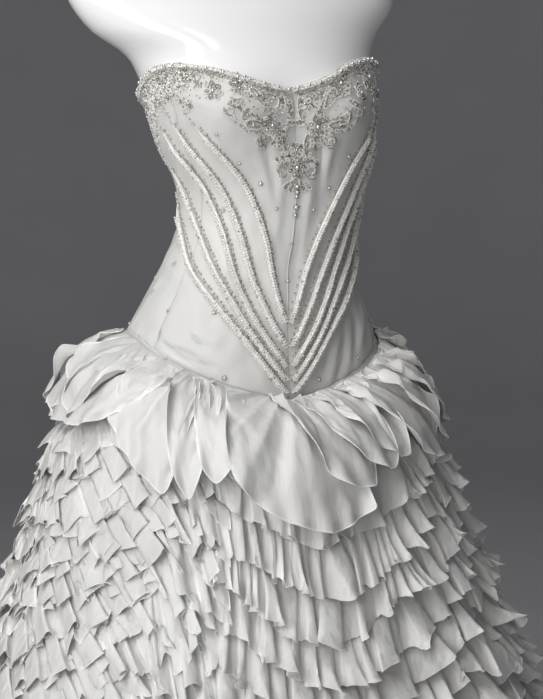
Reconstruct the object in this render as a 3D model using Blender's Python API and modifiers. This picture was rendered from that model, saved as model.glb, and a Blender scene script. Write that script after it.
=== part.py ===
"""Strapless ball gown on a limbless dress form.

Metres, +Z up. The origin is the centre of the base's underside, on the floor. The gown's front
faces -Y and the wearer's left is +X. Angles run round the figure in degrees, from the front
towards the wearer's left, so the centre back is 180. The gown is a boned bodice of six panels
with a V-shaped lower edge, corded V seams, a beaded edge and appliques, and below it a gathered
underskirt that carries petals at the seam and tiers of ruffles down to the floor.
"""

import math
from typing import NamedTuple

import bmesh
import bpy
from mathutils import Vector

# --- Driving dimensions ---------------------------------------------------------------------

COLLECTION = "ball_gown_on_dress_form"

COLUMN_STEP = 9.0  # degrees between the grid lines that all the walls share
SEAM_GAP = 0.0003  # between pieces that meet at a seam
LAY_GAP = 0.0006  # between a piece and what it lies on
FIT_GAP = 0.0005  # between the form and the bodice

BODICE_WALL = 0.0020
SKIRT_WALL = 0.0015
RUFFLE_WALL = 0.0012
PETAL_WALL = 0.0012

HEM_HEIGHT = 0.012  # the underskirt's hem above the floor
GATHER_DEPTH = 0.10  # over this height the underskirt springs from the hips to its full width

BASE_RADIUS = 0.215
BASE_THICKNESS = 0.014
BASE_BEVEL = 0.005
POLE_RADIUS = 0.017
COLLAR_RADIUS = 0.034
COLLAR_HEIGHT = 0.050
COLLAR_TAPER = 0.010  # over this height the collar narrows to the pole
POLE_SIDES = 20
BASE_SIDES = 40
HIPS_BELOW = 0.84  # below this height, and above the next, the torso stands clear of the bodice
SHOULDERS_ABOVE = 1.30

CUP_DEPTH = 0.020  # how far a cup stands out of the bodice's plain front
CUP_ANGLE = 29.0
CUP_ANGLE_SPREAD = 19.0
CUP_HEIGHT = 1.212
CUP_HEIGHT_SPREAD = 0.043
CUP_SIDEWAYS = 0.5  # how far a cup's swell turns out sideways: 0 is straight ahead, 1 is outwards

BODICE_SEAM_RADIUS = 0.115  # the figure's radius where the seams between panels are tightest
SKIRT_SEAM_RADIUS = 0.105

CORD_RADIUS = 0.0030
TIP_SPAN = 0.150  # an arc length for each radian at the centre front, where the cords end
CORD_GAP = 0.0010  # a cord runs over the facets of its panel
CORD_LAST_STEP = 2.0  # degrees at the least between a cord's top and the point below it
TRIM_RADIUS = 0.0032

TIERS = 18
TIER_START = 0.085  # where the top tier is sewn on, as a share of the skirt's height
TIER_LENGTH = 0.062
TIER_STAND = 0.027  # how far a tier's hem stands out of the underskirt
TIER_WAVE = 0.014
TIER_GAP = 0.0009  # the head of a tier bridges the facets that it is sewn on
TIER_TOP_FULLNESS = 0.70  # the petals press the top tier to this share of that stand
TIER_FULLNESS_STEP = 0.15
COLUMNS_PER_WAVE = 4
WAVE_UNEVEN = 0.15  # the share by which the waves of a tier differ in size
WAVE_TIER_PHASE = 2.3  # radians by which that unevenness moves on from tier to tier
WAVE_STEP_PHASE = 1.7  # and from wave to wave

APPLIQUE_WALL = 0.0022
APPLIQUE_GAP = 0.0013  # the applique bridges the facets of the cups
APPLIQUE_START = 1.5  # degrees from the centre front
APPLIQUE_ROWS = (0.965, 0.945, 0.89, 0.845)  # shares of the bodice's height
APPLIQUE_SPAN = 99.0  # degrees round from the centre front
APPLIQUE_SCALLOP = 0.012
APPLIQUE_SCALLOPS = 20.0  # scallops of the lower edge in a full turn
PENDANT_HEIGHT = 1.146
PENDANT_HALF_HEIGHT = 0.026
PENDANT_HALF_TURN = 11.0
PENDANT_COLUMNS = (-1.0, -0.5, 0.0, 0.5, 1.0)  # shares of its half width
PLACKET_HALF_ANGLE = 4.0
PLACKET_WALL = 0.0014
PLACKET_TOP = 0.95  # shares of the bodice's height
PLACKET_FOOT = 0.02
PULL_WIDTH = 0.005
PULL_LENGTH = 0.014
PULL_THICKNESS = 0.002

NORMAL_TURN = 0.5  # a normal is taken over this many degrees to either side
NORMAL_RISE = 0.004  # and over this share of the height above and below
GRID_TOLERANCE = 1e-9


class Section(NamedTuple):
    """A level section: half an ellipse in front of its centre and half of another behind it."""

    height: float
    half_width: float
    front: float
    back: float
    centre_x: float
    centre_y: float


# The figure that the form has and that the bodice is cut on, bottom to top.
FIGURE = (
    Section(0.780, 0.118, 0.085, 0.092, -0.024, 0.020),
    Section(0.800, 0.146, 0.110, 0.112, -0.024, 0.020),
    Section(0.850, 0.168, 0.133, 0.130, -0.024, 0.020),
    Section(0.900, 0.167, 0.134, 0.128, -0.024, 0.018),
    Section(0.945, 0.156, 0.124, 0.118, -0.024, 0.012),
    Section(0.980, 0.1400, 0.113, 0.104, -0.022, 0.008),
    Section(1.020, 0.1235, 0.101, 0.092, -0.018, 0.004),
    Section(1.060, 0.1125, 0.093, 0.084, -0.011, 0.000),
    Section(1.090, 0.1120, 0.090, 0.083, -0.006, 0.000),
    Section(1.125, 0.1175, 0.090, 0.086, -0.003, 0.000),
    Section(1.170, 0.1340, 0.094, 0.096, -0.007, 0.000),
    Section(1.226, 0.1480, 0.099, 0.104, -0.012, 0.000),
    Section(1.260, 0.1515, 0.097, 0.106, -0.019, 0.002),
    Section(1.285, 0.1590, 0.092, 0.106, -0.028, 0.004),
    Section(1.311, 0.1840, 0.086, 0.102, -0.043, 0.008),
    Section(1.350, 0.2120, 0.077, 0.094, -0.044, 0.014),
    Section(1.385, 0.2160, 0.067, 0.084, -0.045, 0.020),
    Section(1.410, 0.2000, 0.059, 0.073, -0.046, 0.024),
    Section(1.430, 0.1500, 0.054, 0.063, -0.048, 0.026),
    Section(1.447, 0.0870, 0.050, 0.056, -0.049, 0.026),
    Section(1.470, 0.0590, 0.048, 0.052, -0.050, 0.024),
    Section(1.520, 0.0550, 0.050, 0.052, -0.052, 0.018),
)

# The underskirt's outer face where it hangs clear of the hips, top to bottom.
SKIRT = (
    Section(0.950, 0.165, 0.138, 0.130, -0.024, 0.014),
    Section(0.900, 0.192, 0.168, 0.176, -0.026, 0.020),
    Section(0.840, 0.215, 0.192, 0.208, -0.024, 0.025),
    Section(0.740, 0.249, 0.224, 0.256, -0.020, 0.032),
    Section(0.640, 0.280, 0.250, 0.298, -0.015, 0.040),
    Section(0.490, 0.339, 0.300, 0.368, -0.012, 0.050),
    Section(0.250, 0.436, 0.384, 0.480, -0.010, 0.065),
    Section(0.010, 0.530, 0.465, 0.590, -0.010, 0.080),
)


class Edge(NamedTuple):
    """A point of an edge, at an angle to either side of the centre front."""

    angle: float
    height: float


# The sweetheart neckline, from the centre front to the centre back.
NECKLINE = (
    Edge(0, 1.2420),
    Edge(10, 1.2470),
    Edge(20, 1.2560),
    Edge(32, 1.2680),
    Edge(47, 1.2750),
    Edge(62, 1.2750),
    Edge(76, 1.2660),
    Edge(95, 1.2480),
    Edge(130, 1.2260),
    Edge(180, 1.2120),
)
NECKLINE_TILT = 0.007  # the neckline's rise at the wearer's left, and its fall at the right

# The seam between bodice and skirt, a V in front.
YOKE_SEAM = (
    Edge(0, 0.8700),
    Edge(20, 0.8850),
    Edge(45, 0.9090),
    Edge(70, 0.9370),
    Edge(90, 0.9480),
    Edge(120, 0.9480),
    Edge(150, 0.9360),
    Edge(180, 0.9280),
)


class Swag(NamedTuple):
    """How far a tier is looped up (or hangs down, if negative) at an angle, all round."""

    angle: float
    rise: float


SWAGS = (
    Swag(-180, 0.000),
    Swag(-140, -0.025),
    Swag(-103, -0.085),
    Swag(-72, 0.000),
    Swag(-45, 0.085),
    Swag(-20, 0.010),
    Swag(10, -0.070),
    Swag(35, -0.030),
    Swag(65, 0.010),
    Swag(95, 0.030),
    Swag(135, 0.010),
    Swag(180, 0.000),
)
SWAG_TOP = 0.45  # the share of the swags that the top tier has
SWAG_FULL = 0.32  # shares of the skirt's height between which the swags are full
SWAG_FADES = 0.50

# Shares of the way from the yoke seam up to the neckline, where the bodice's grid has its rows.
BODICE_ROWS = (0.0, 0.08, 0.17, 0.26, 0.35, 0.44, 0.53, 0.62, 0.70, 0.77, 0.83, 0.89, 0.945, 1.0)

# Shares of the way from the yoke seam down to the hem, where the underskirt's grid has its rows.
SKIRT_ROWS = (0.0, 0.03, 0.065, 0.11, 0.19, 0.31, 0.50, 0.74, 1.0)


class Level(NamedTuple):
    """A level of a small shape: its height and its half width, as shares of the whole."""

    height: float
    width: float


NECK_CAP_HEIGHT = 0.016
NECK_CAP = (Level(1.0, 0.55), Level(0.6, 0.88), Level(0.0, 1.0))
PENDANT = (
    Level(1.0, 0.35),
    Level(0.6, 0.80),
    Level(0.2, 1.00),
    Level(-0.2, 1.00),
    Level(-0.6, 0.70),
    Level(-1.0, 0.20),
)


class Panel(NamedTuple):
    """A cut piece between two seams."""

    name: str
    start: float
    stop: float


BODICE_PANELS = (
    Panel("bodice_front_left", 0, 63),
    Panel("bodice_side_left", 63, 117),
    Panel("bodice_back_left", 117, 180),
    Panel("bodice_front_right", -63, 0),
    Panel("bodice_side_right", -117, -63),
    Panel("bodice_back_right", -180, -117),
)

SKIRT_PANELS = (
    Panel("underskirt_front", -45, 45),
    Panel("underskirt_side_left", 45, 135),
    Panel("underskirt_back", 135, 225),
    Panel("underskirt_side_right", -135, -45),
)


class Cord(NamedTuple):
    """A corded seam of the wearer's left half, from its top down to the centre front."""

    name: str
    top_angle: float
    top_height: float
    upper_angle: float
    upper_height: float
    lower_angle: float
    lower_height: float
    tip_height: float


CORDS = (
    Cord("v_cord_1", 51, 1.195, 38, 1.150, 15, 1.052, 0.962),
    Cord("v_cord_2", 67, 1.200, 51, 1.138, 22, 1.025, 0.934),
    Cord("v_cord_3", 79, 1.192, 60, 1.125, 26, 1.005, 0.911),
    Cord("v_cord_4", 89, 1.146, 68, 1.085, 28, 0.988, 0.893),
    Cord("v_cord_5", 97, 1.102, 72, 1.052, 26, 0.962, 0.877),
)


class Petal(NamedTuple):
    """A cut petal that hangs from the yoke seam, gathered at its head."""

    angle: float
    half_span: float
    length: float
    skew: float  # degrees that its hem lies round from its head
    first_side: float  # its side edges as shares of its length
    second_side: float
    folds: float
    layer: int


PETALS = (
    Petal(-131, 30, 0.105, -8, 0.60, 0.55, 3.0, 1),
    Petal(-92, 25, 0.102, -8, 0.65, 0.55, 2.5, 0),
    Petal(-62, 22, 0.108, -6, 0.50, 0.70, 3.0, 1),
    Petal(-36, 19, 0.112, -2, 0.60, 0.75, 2.0, 0),
    Petal(-12, 17, 0.155, 3, 0.40, 0.85, 2.5, 1),
    Petal(8, 16, 0.112, 8, 0.70, 0.60, 2.0, 0),
    Petal(28, 17, 0.108, 8, 0.75, 0.45, 2.0, 1),
    Petal(50, 19, 0.100, 9, 0.75, 0.50, 2.0, 0),
    Petal(76, 21, 0.092, 8, 0.70, 0.55, 2.5, 1),
    Petal(105, 25, 0.095, 6, 0.65, 0.60, 2.5, 0),
    Petal(142, 27, 0.108, 4, 0.60, 0.60, 3.0, 1),
    Petal(184, 30, 0.112, 0, 0.65, 0.65, 3.0, 0),
)
PETAL_COLUMNS = 8
PETAL_ROWS = (0.0, 0.13, 0.33, 0.66, 1.0)
PETAL_HEAD = 0.004  # a petal's head lies this far below the seam
PETAL_STAND = 0.028  # how far a petal puffs out of the underskirt
PETAL_LEAN = 0.22  # the share by which it puffs out more at the wearer's right
PETAL_GAP = 0.0008  # a petal's head bridges the facets that it is sewn on
PETAL_LAYER_STEP = 0.0026
PETAL_LAYER_SPREAD = 0.014
PETAL_FOLD = 0.0040


class Puff(NamedTuple):
    """How much of its stand a petal has at a drop below its head."""

    drop: float
    share: float


PETAL_PUFF = (
    Puff(0.000, 0.00),
    Puff(0.018, 0.52),
    Puff(0.045, 0.92),
    Puff(0.080, 1.00),
    Puff(0.115, 1.05),
    Puff(0.160, 1.30),
)


class Finish(NamedTuple):
    """A surface finish: linear colour, roughness and metallic value."""

    colour: tuple
    roughness: float
    metallic: float


SATIN = Finish((0.86, 0.85, 0.82), 0.42, 0.0)
TAFFETA = Finish((0.84, 0.83, 0.80), 0.50, 0.0)
UNDERSKIRT = Finish((0.80, 0.79, 0.77), 0.60, 0.0)
BEADED = Finish((0.72, 0.70, 0.66), 0.30, 0.3)
FORM_GLOSS = Finish((0.88, 0.88, 0.88), 0.15, 0.0)
STEEL = Finish((0.60, 0.60, 0.62), 0.30, 1.0)


# --- Curves through tables ------------------------------------------------------------------


def smooth(knots, values, at):
    """A cubic through the values at the knots, with the slope at a knot from its neighbours."""
    last = len(knots) - 1
    if at <= knots[0]:
        return values[0]
    if at >= knots[last]:
        return values[last]
    low = max(i for i in range(last) if knots[i] <= at)

    def slope(i):
        before, after = max(i - 1, 0), min(i + 1, last)
        return (values[after] - values[before]) / (knots[after] - knots[before])

    span = knots[low + 1] - knots[low]
    t = (at - knots[low]) / span
    start_weight = 2 * t**3 - 3 * t**2 + 1
    return (
        start_weight * values[low]
        + (1 - start_weight) * values[low + 1]
        + (t**3 - 2 * t**2 + t) * span * slope(low)
        + (t**3 - t**2) * span * slope(low + 1)
    )


def edge_height(edge, angle):
    """The height of a symmetric edge at an angle."""
    wrapped = abs((angle + 180) % 360 - 180)
    return smooth([e.angle for e in edge], [e.height for e in edge], wrapped)


def neck_height(angle):
    """The neckline's height at an angle."""
    return edge_height(NECKLINE, angle) + NECKLINE_TILT * math.sin(math.radians(angle))


def section_at(sections, height):
    """The section at a height, between those of a table."""
    ordered = sorted(sections, key=lambda s: s.height)
    knots = [s.height for s in ordered]
    sizes = [smooth(knots, [s[i] for s in ordered], height) for i in range(1, 6)]
    return Section(height, *sizes)


def ring_point(section, angle):
    """The point of a section's outline at an angle."""
    turn = math.radians(angle)
    depth = section.front if math.cos(turn) > 0 else section.back
    return Vector(
        (
            section.centre_x + section.half_width * math.sin(turn),
            section.centre_y - depth * math.cos(turn),
            section.height,
        )
    )


# --- The surfaces that everything is laid on -------------------------------------------------


def cup_share(angle, height):
    """How much of the cups' depth a place on the figure has, from 0 to 1."""
    wrapped = abs((angle + 180) % 360 - 180)
    sideways = (wrapped - CUP_ANGLE) / CUP_ANGLE_SPREAD
    upward = (height - CUP_HEIGHT) / CUP_HEIGHT_SPREAD
    return math.exp(-(sideways**2) - upward**2)


def figure_point(angle, height):
    """A point of the form's skin."""
    section = section_at(FIGURE, height)
    point = ring_point(section, angle)
    turn = math.radians(angle)
    outward = Vector((math.sin(turn) * CUP_SIDEWAYS, -math.cos(turn), 0)).normalized()
    return point + outward * CUP_DEPTH * cup_share(angle, height)


def bodice_height(angle, share):
    """The height at a share of the way from the yoke seam up to the neckline."""
    low, high = edge_height(YOKE_SEAM, angle), neck_height(angle)
    return low + (high - low) * share


def bodice_skin(angle, share):
    """A point of the form's skin under the bodice."""
    return figure_point(angle, bodice_height(angle, share))


def skirt_skin(angle, share):
    """A point of the underskirt's outer face, at a share of the way from its seam to its hem."""
    seam = edge_height(YOKE_SEAM, angle) - SEAM_GAP
    height = seam + (HEM_HEIGHT - seam) * share
    hung = ring_point(section_at(SKIRT, height), angle)
    waist = figure_point(angle, seam)
    outward = (hung - waist) * Vector((1, 1, 0))
    waist += outward.normalized() * (FIT_GAP + BODICE_WALL)
    drop = min((seam - height) / GATHER_DEPTH, 1.0)
    spring = 1 - (1 - drop) ** 2
    return Vector(
        (
            waist.x + (hung.x - waist.x) * spring,
            waist.y + (hung.y - waist.y) * spring,
            height,
        )
    )


class Surface:
    """A faceted surface over a grid of angles and shares; other pieces are laid on its facets."""

    def __init__(self, skin, rows, level):
        self.skin = skin
        self.rows = rows
        self.level = level  # whether a piece is moved out level, so that its height stays
        self.nodes = {}

    def node(self, column, row):
        """The point and the outward normal where a grid line crosses a row."""
        column %= round(360 / COLUMN_STEP)
        key = (column, row)
        if key not in self.nodes:
            angle, share = column * COLUMN_STEP, self.rows[row]
            low, high = max(share - NORMAL_RISE, 0.0), min(share + NORMAL_RISE, 1.0)
            across = self.skin(angle + NORMAL_TURN, share) - self.skin(angle - NORMAL_TURN, share)
            along = self.skin(angle, high) - self.skin(angle, low)
            if self.level:
                across.z = 0.0
                along = Vector((0, 0, 1))
            elif along.z < 0:
                along.negate()
            self.nodes[key] = (self.skin(angle, share), across.cross(along).normalized())
        return self.nodes[key]

    def at(self, angle, share, out=0.0):
        """The point on the facets at an angle and a share, moved out by a distance."""
        share = min(max(share, self.rows[0]), self.rows[-1])
        column = math.floor(angle / COLUMN_STEP + GRID_TOLERANCE)
        below = share + GRID_TOLERANCE
        row = max(i for i in range(len(self.rows) - 1) if self.rows[i] <= below)
        x = angle / COLUMN_STEP - column
        y = (share - self.rows[row]) / (self.rows[row + 1] - self.rows[row])
        point, normal = Vector(), Vector()
        for side, side_weight in ((0, 1 - x), (1, x)):
            for end, end_weight in ((0, 1 - y), (1, y)):
                corner, corner_normal = self.node(column + side, row + end)
                point += corner * side_weight * end_weight
                normal += corner_normal * side_weight * end_weight
        return point + normal.normalized() * out


GRID_ANGLES = [i * COLUMN_STEP for i in range(round(360 / COLUMN_STEP))]
BODICE_SURFACE = Surface(bodice_skin, BODICE_ROWS, level=True)
SKIRT_SURFACE = Surface(skirt_skin, SKIRT_ROWS, level=False)


def on_bodice(angle, height, out):
    """The point on the bodice's facets at an angle and a height, moved out by a distance."""
    low, high = edge_height(YOKE_SEAM, angle), neck_height(angle)
    return BODICE_SURFACE.at(angle, (height - low) / (high - low), out)


def angles_between(start, stop, trim):
    """The shared grid's angles from start to stop, with both ends drawn in by trim."""
    first = math.floor(start / COLUMN_STEP + GRID_TOLERANCE) + 1
    last = math.ceil(stop / COLUMN_STEP - GRID_TOLERANCE)
    inner = [i * COLUMN_STEP for i in range(first, last)]
    return [start + trim, *inner, stop - trim]


# --- Objects ----------------------------------------------------------------------------------


def clear_scene():
    """Removes what the file starts with."""
    for old in list(bpy.data.objects):
        bpy.data.objects.remove(old, do_unlink=True)


def gown_collection():
    """The collection that holds every piece."""
    if COLLECTION not in bpy.data.collections:
        made = bpy.data.collections.new(COLLECTION)
        bpy.context.scene.collection.children.link(made)
    return bpy.data.collections[COLLECTION]


def add_object(name, data, finish):
    """An object in the gown's collection with a material of its own."""
    obj = bpy.data.objects.new(name, data)
    gown_collection().objects.link(obj)
    material = bpy.data.materials.new(name)
    material.use_nodes = True
    shader = material.node_tree.nodes["Principled BSDF"]
    shader.inputs["Base Color"].default_value = (*finish.colour, 1.0)
    shader.inputs["Roughness"].default_value = finish.roughness
    shader.inputs["Metallic"].default_value = finish.metallic
    data.materials.append(material)
    return obj


def grid_mesh(name, grid, closed=False):
    """An open surface through rows of points, its faces looking out of the figure."""
    mesh = bmesh.new()
    rows = [[mesh.verts.new(point) for point in row] for row in grid]
    width = len(grid[0])
    for upper, lower in zip(rows, rows[1:]):
        for i in range(width if closed else width - 1):
            j = (i + 1) % width
            mesh.faces.new((upper[i], lower[i], lower[j], upper[j]))
    data = bpy.data.meshes.new(name)
    mesh.to_mesh(data)
    mesh.free()
    data.shade_smooth()
    return data


def add_wall(name, grid, thickness, outward, finish, closed=False):
    """A cloth wall: rows of points from top to bottom, thickened out of the figure or into it."""
    obj = add_object(name, grid_mesh(name, grid, closed), finish)
    solidify = obj.modifiers.new("thickness", "SOLIDIFY")
    solidify.thickness = thickness
    solidify.offset = 1.0 if outward else -1.0
    return obj


def add_laid_wall(name, lay, places, out, thickness, finish):
    """A wall on a surface: rows of (angle, level) places that lay puts at a distance out."""
    mesh = bmesh.new()
    inner = [[mesh.verts.new(lay(*place, out)) for place in row] for row in places]
    outer = [[mesh.verts.new(lay(*place, out + thickness)) for place in row] for row in places]
    height, width = len(places), len(places[0])
    for j in range(height - 1):
        for i in range(width - 1):
            mesh.faces.new((outer[j][i], outer[j + 1][i], outer[j + 1][i + 1], outer[j][i + 1]))
            mesh.faces.new((inner[j][i], inner[j][i + 1], inner[j + 1][i + 1], inner[j + 1][i]))
    for i in range(width - 1):
        mesh.faces.new((inner[0][i], outer[0][i], outer[0][i + 1], inner[0][i + 1]))
        mesh.faces.new((outer[-1][i], inner[-1][i], inner[-1][i + 1], outer[-1][i + 1]))
    for j in range(height - 1):
        mesh.faces.new((inner[j][0], inner[j + 1][0], outer[j + 1][0], outer[j][0]))
        mesh.faces.new((outer[j][-1], outer[j + 1][-1], inner[j + 1][-1], inner[j][-1]))
    data = bpy.data.meshes.new(name)
    mesh.to_mesh(data)
    mesh.free()
    data.shade_smooth()
    return add_object(name, data, finish)


def add_loft(name, rings, finish):
    """A closed body through rings of points from top to bottom, capped at both ends."""
    mesh = bmesh.new()
    rows = [[mesh.verts.new(point) for point in ring] for ring in rings]
    width = len(rows[0])
    for upper, lower in zip(rows, rows[1:]):
        for i in range(width):
            j = (i + 1) % width
            mesh.faces.new((upper[i], lower[i], lower[j], upper[j]))
    mesh.faces.new(rows[0])
    mesh.faces.new(list(reversed(rows[-1])))
    bmesh.ops.recalc_face_normals(mesh, faces=mesh.faces)
    data = bpy.data.meshes.new(name)
    mesh.to_mesh(data)
    mesh.free()
    data.shade_smooth()
    return add_object(name, data, finish)


def add_tube(name, points, radius, finish, cyclic=False):
    """A round cord along a line of points."""
    curve = bpy.data.curves.new(name, "CURVE")
    curve.dimensions = "3D"
    curve.bevel_depth = radius
    curve.bevel_resolution = 1
    curve.use_fill_caps = not cyclic
    spline = curve.splines.new("POLY")
    spline.points.add(len(points) - 1)
    for slot, point in zip(spline.points, points):
        slot.co = (*point, 1.0)
    spline.use_cyclic_u = cyclic
    return add_object(name, curve, finish)


def add_turned(name, profile, segments, finish):
    """A body turned about the Z axis from a profile of (radius, height), top to bottom."""
    mesh = bmesh.new()
    line = [mesh.verts.new((radius, 0, height)) for radius, height in profile]
    for upper, lower in zip(line, line[1:]):
        mesh.edges.new((upper, lower))
    data = bpy.data.meshes.new(name)
    mesh.to_mesh(data)
    mesh.free()
    obj = add_object(name, data, finish)
    screw = obj.modifiers.new("turn", "SCREW")
    screw.steps = segments
    screw.render_steps = segments
    screw.use_merge_vertices = True
    screw.merge_threshold = 0.0001
    return obj


# --- The dress form -----------------------------------------------------------------------------


def build_torso():
    """The torso, whose middle lies under the bodice on the same grid."""
    hips = [s.height for s in FIGURE if s.height < HIPS_BELOW]
    shoulders = [s.height for s in FIGURE if s.height > SHOULDERS_ABOVE]
    rings = [[figure_point(a, z) for a in GRID_ANGLES] for z in reversed(shoulders)]
    for share in reversed(BODICE_ROWS):
        rings.append([BODICE_SURFACE.at(a, share) for a in GRID_ANGLES])
    rings += [[figure_point(a, z) for a in GRID_ANGLES] for z in reversed(hips)]
    add_loft("form_torso", rings, FORM_GLOSS)


def build_neck_cap():
    """The low domed cap on the neck."""
    neck = FIGURE[-1]
    rings = []
    for level in NECK_CAP:
        section = neck._replace(
            height=neck.height + SEAM_GAP + NECK_CAP_HEIGHT * level.height,
            half_width=neck.half_width * level.width,
            front=neck.front * level.width,
            back=neck.back * level.width,
        )
        rings.append([ring_point(section, a) for a in GRID_ANGLES[::2]])
    add_loft("form_neck_cap", rings, FORM_GLOSS)


def build_stand():
    """The pole with its collar, and the round base."""
    underside = FIGURE[0].height - SEAM_GAP
    collar_low = underside - COLLAR_HEIGHT
    add_turned(
        "form_pole",
        (
            (0.0, underside),
            (COLLAR_RADIUS, underside),
            (COLLAR_RADIUS, collar_low + COLLAR_TAPER),
            (POLE_RADIUS, collar_low),
            (POLE_RADIUS, BASE_THICKNESS + SEAM_GAP),
            (0.0, BASE_THICKNESS + SEAM_GAP),
        ),
        POLE_SIDES,
        STEEL,
    )
    add_turned(
        "form_base",
        (
            (0.0, BASE_THICKNESS),
            (BASE_RADIUS - BASE_BEVEL * 2, BASE_THICKNESS),
            (BASE_RADIUS, BASE_THICKNESS - BASE_BEVEL),
            (BASE_RADIUS, 0.0),
            (0.0, 0.0),
        ),
        BASE_SIDES,
        FORM_GLOSS,
    )


# --- The bodice ---------------------------------------------------------------------------------


def build_bodice():
    """Six panels from the yoke seam to the neckline."""
    trim = math.degrees(SEAM_GAP / 2 / BODICE_SEAM_RADIUS)
    for panel in BODICE_PANELS:
        angles = angles_between(panel.start, panel.stop, trim)
        places = [[(a, share) for a in angles] for share in reversed(BODICE_ROWS)]
        add_laid_wall(panel.name, BODICE_SURFACE.at, places, FIT_GAP, BODICE_WALL, SATIN)


def cord_path(cord, side):
    """The middle line of a corded seam, laid on the bodice; side is 1 for the wearer's left."""
    tip_angle = math.degrees((CORD_RADIUS + SEAM_GAP) / TIP_SPAN)
    knots = (tip_angle, cord.lower_angle, cord.upper_angle, cord.top_angle)
    heights = (cord.tip_height, cord.lower_height, cord.upper_height, cord.top_height)
    steps = [COLUMN_STEP / 2 * i for i in range(1, int(2 * cord.top_angle / COLUMN_STEP) + 1)]
    inner = [a for a in steps if a < cord.top_angle - CORD_LAST_STEP]
    angles = [tip_angle, *inner, cord.top_angle]
    out = FIT_GAP + BODICE_WALL + CORD_GAP + CORD_RADIUS
    return [on_bodice(side * angle, smooth(knots, heights, angle), out) for angle in angles]


def build_cords():
    """Five corded V seams on each half of the front."""
    for cord in CORDS:
        for side, word in ((1, "left"), (-1, "right")):
            add_tube(f"{cord.name}_{word}", cord_path(cord, side), CORD_RADIUS, BEADED)


def build_neck_trim():
    """The beaded edge that runs round the whole neckline."""
    out = FIT_GAP + BODICE_WALL + LAY_GAP + TRIM_RADIUS
    points = [on_bodice(a, neck_height(a) - TRIM_RADIUS, out) for a in GRID_ANGLES]
    add_tube("neck_trim", points, TRIM_RADIUS, BEADED, cyclic=True)


def build_appliques():
    """Beaded appliques: one along each half of the bust and a pendant at the centre front."""
    out = FIT_GAP + BODICE_WALL + APPLIQUE_GAP
    for side, word in ((1, "left"), (-1, "right")):
        turns = [APPLIQUE_START, *(a for a in GRID_ANGLES if 0 < a <= APPLIQUE_SPAN)]
        columns = sorted(side * a for a in turns)
        waves = [math.cos(math.radians(APPLIQUE_SCALLOPS * a)) for a in columns]
        places = [[(a, share) for a in columns] for share in APPLIQUE_ROWS]
        lower = APPLIQUE_ROWS[-1]
        places[-1] = [(a, lower + APPLIQUE_SCALLOP * wave) for a, wave in zip(columns, waves)]
        name = f"bust_applique_{word}"
        add_laid_wall(name, BODICE_SURFACE.at, places, out, APPLIQUE_WALL, BEADED)

    places = []
    for level in PENDANT:
        height = PENDANT_HEIGHT + PENDANT_HALF_HEIGHT * level.height
        turn = PENDANT_HALF_TURN * level.width
        places.append([(turn * across, height) for across in PENDANT_COLUMNS])
    add_laid_wall("pendant_applique", on_bodice, places, out, APPLIQUE_WALL, BEADED)


def build_closure():
    """The lapped placket over the centre back zip, and the zip's pull at its top."""
    out = FIT_GAP + BODICE_WALL + LAY_GAP
    turns = (-PLACKET_HALF_ANGLE, 0.0, PLACKET_HALF_ANGLE)
    levels = [PLACKET_TOP, *reversed(BODICE_ROWS[1:-2]), PLACKET_FOOT]
    places = [[(180 + turn, level) for turn in turns] for level in levels]
    add_laid_wall("back_placket", BODICE_SURFACE.at, places, out, PLACKET_WALL, SATIN)

    high = bodice_height(180, PLACKET_TOP)
    front = out + PLACKET_WALL + LAY_GAP
    place = on_bodice(180, high - PULL_LENGTH, front + PULL_THICKNESS / 2)
    bpy.ops.mesh.primitive_cube_add(size=1)
    block = bpy.context.active_object
    data = block.data
    bpy.data.objects.remove(block)
    for vertex in data.vertices:
        vertex.co *= Vector((PULL_WIDTH, PULL_THICKNESS, PULL_LENGTH))
    pull = add_object("zip_pull", data, STEEL)
    below = on_bodice(180, high - 1.5 * PULL_LENGTH, front)
    above = on_bodice(180, high - 0.5 * PULL_LENGTH, front)
    rise = above - below
    pull.location = place
    pull.rotation_euler = (math.atan2(-rise.y, rise.z), 0, 0)


# --- The skirt ----------------------------------------------------------------------------------


def build_underskirt():
    """Four gores from the yoke seam to just above the floor."""
    trim = math.degrees(SEAM_GAP / 2 / SKIRT_SEAM_RADIUS)
    for panel in SKIRT_PANELS:
        angles = angles_between(panel.start, panel.stop, trim)
        grid = [[SKIRT_SURFACE.at(a, share) for a in angles] for share in SKIRT_ROWS]
        add_wall(panel.name, grid, SKIRT_WALL, False, UNDERSKIRT)


def tier_top(tier, angle):
    """Where a tier is sewn on at an angle, as a share of the skirt's height."""
    last = 1.0 - TIER_LENGTH
    level = TIER_START + tier * (last - TIER_START) / (TIERS - 1)
    grows = SWAG_TOP + (1 - SWAG_TOP) * (level - TIER_START) / (SWAG_FULL - TIER_START)
    fades = (last - level) / (last - SWAG_FADES)
    amount = min(grows, fades, 1.0)
    wrapped = (angle + 180) % 360 - 180
    rise = smooth([s.angle for s in SWAGS], [s.rise for s in SWAGS], wrapped)
    return level - rise * amount / (edge_height(YOKE_SEAM, angle) - HEM_HEIGHT)


def tier_wave(tier, column):
    """The wave of a tier's hem at a grid line: -1 in a hollow, 1 on a crest, uneven in size."""
    wave = math.cos(2 * math.pi * (column + tier) / COLUMNS_PER_WAVE)
    phase = WAVE_TIER_PHASE * tier + WAVE_STEP_PHASE * (column // COLUMNS_PER_WAVE)
    return wave * (1 - WAVE_UNEVEN * (1 - math.sin(phase)))


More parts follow.
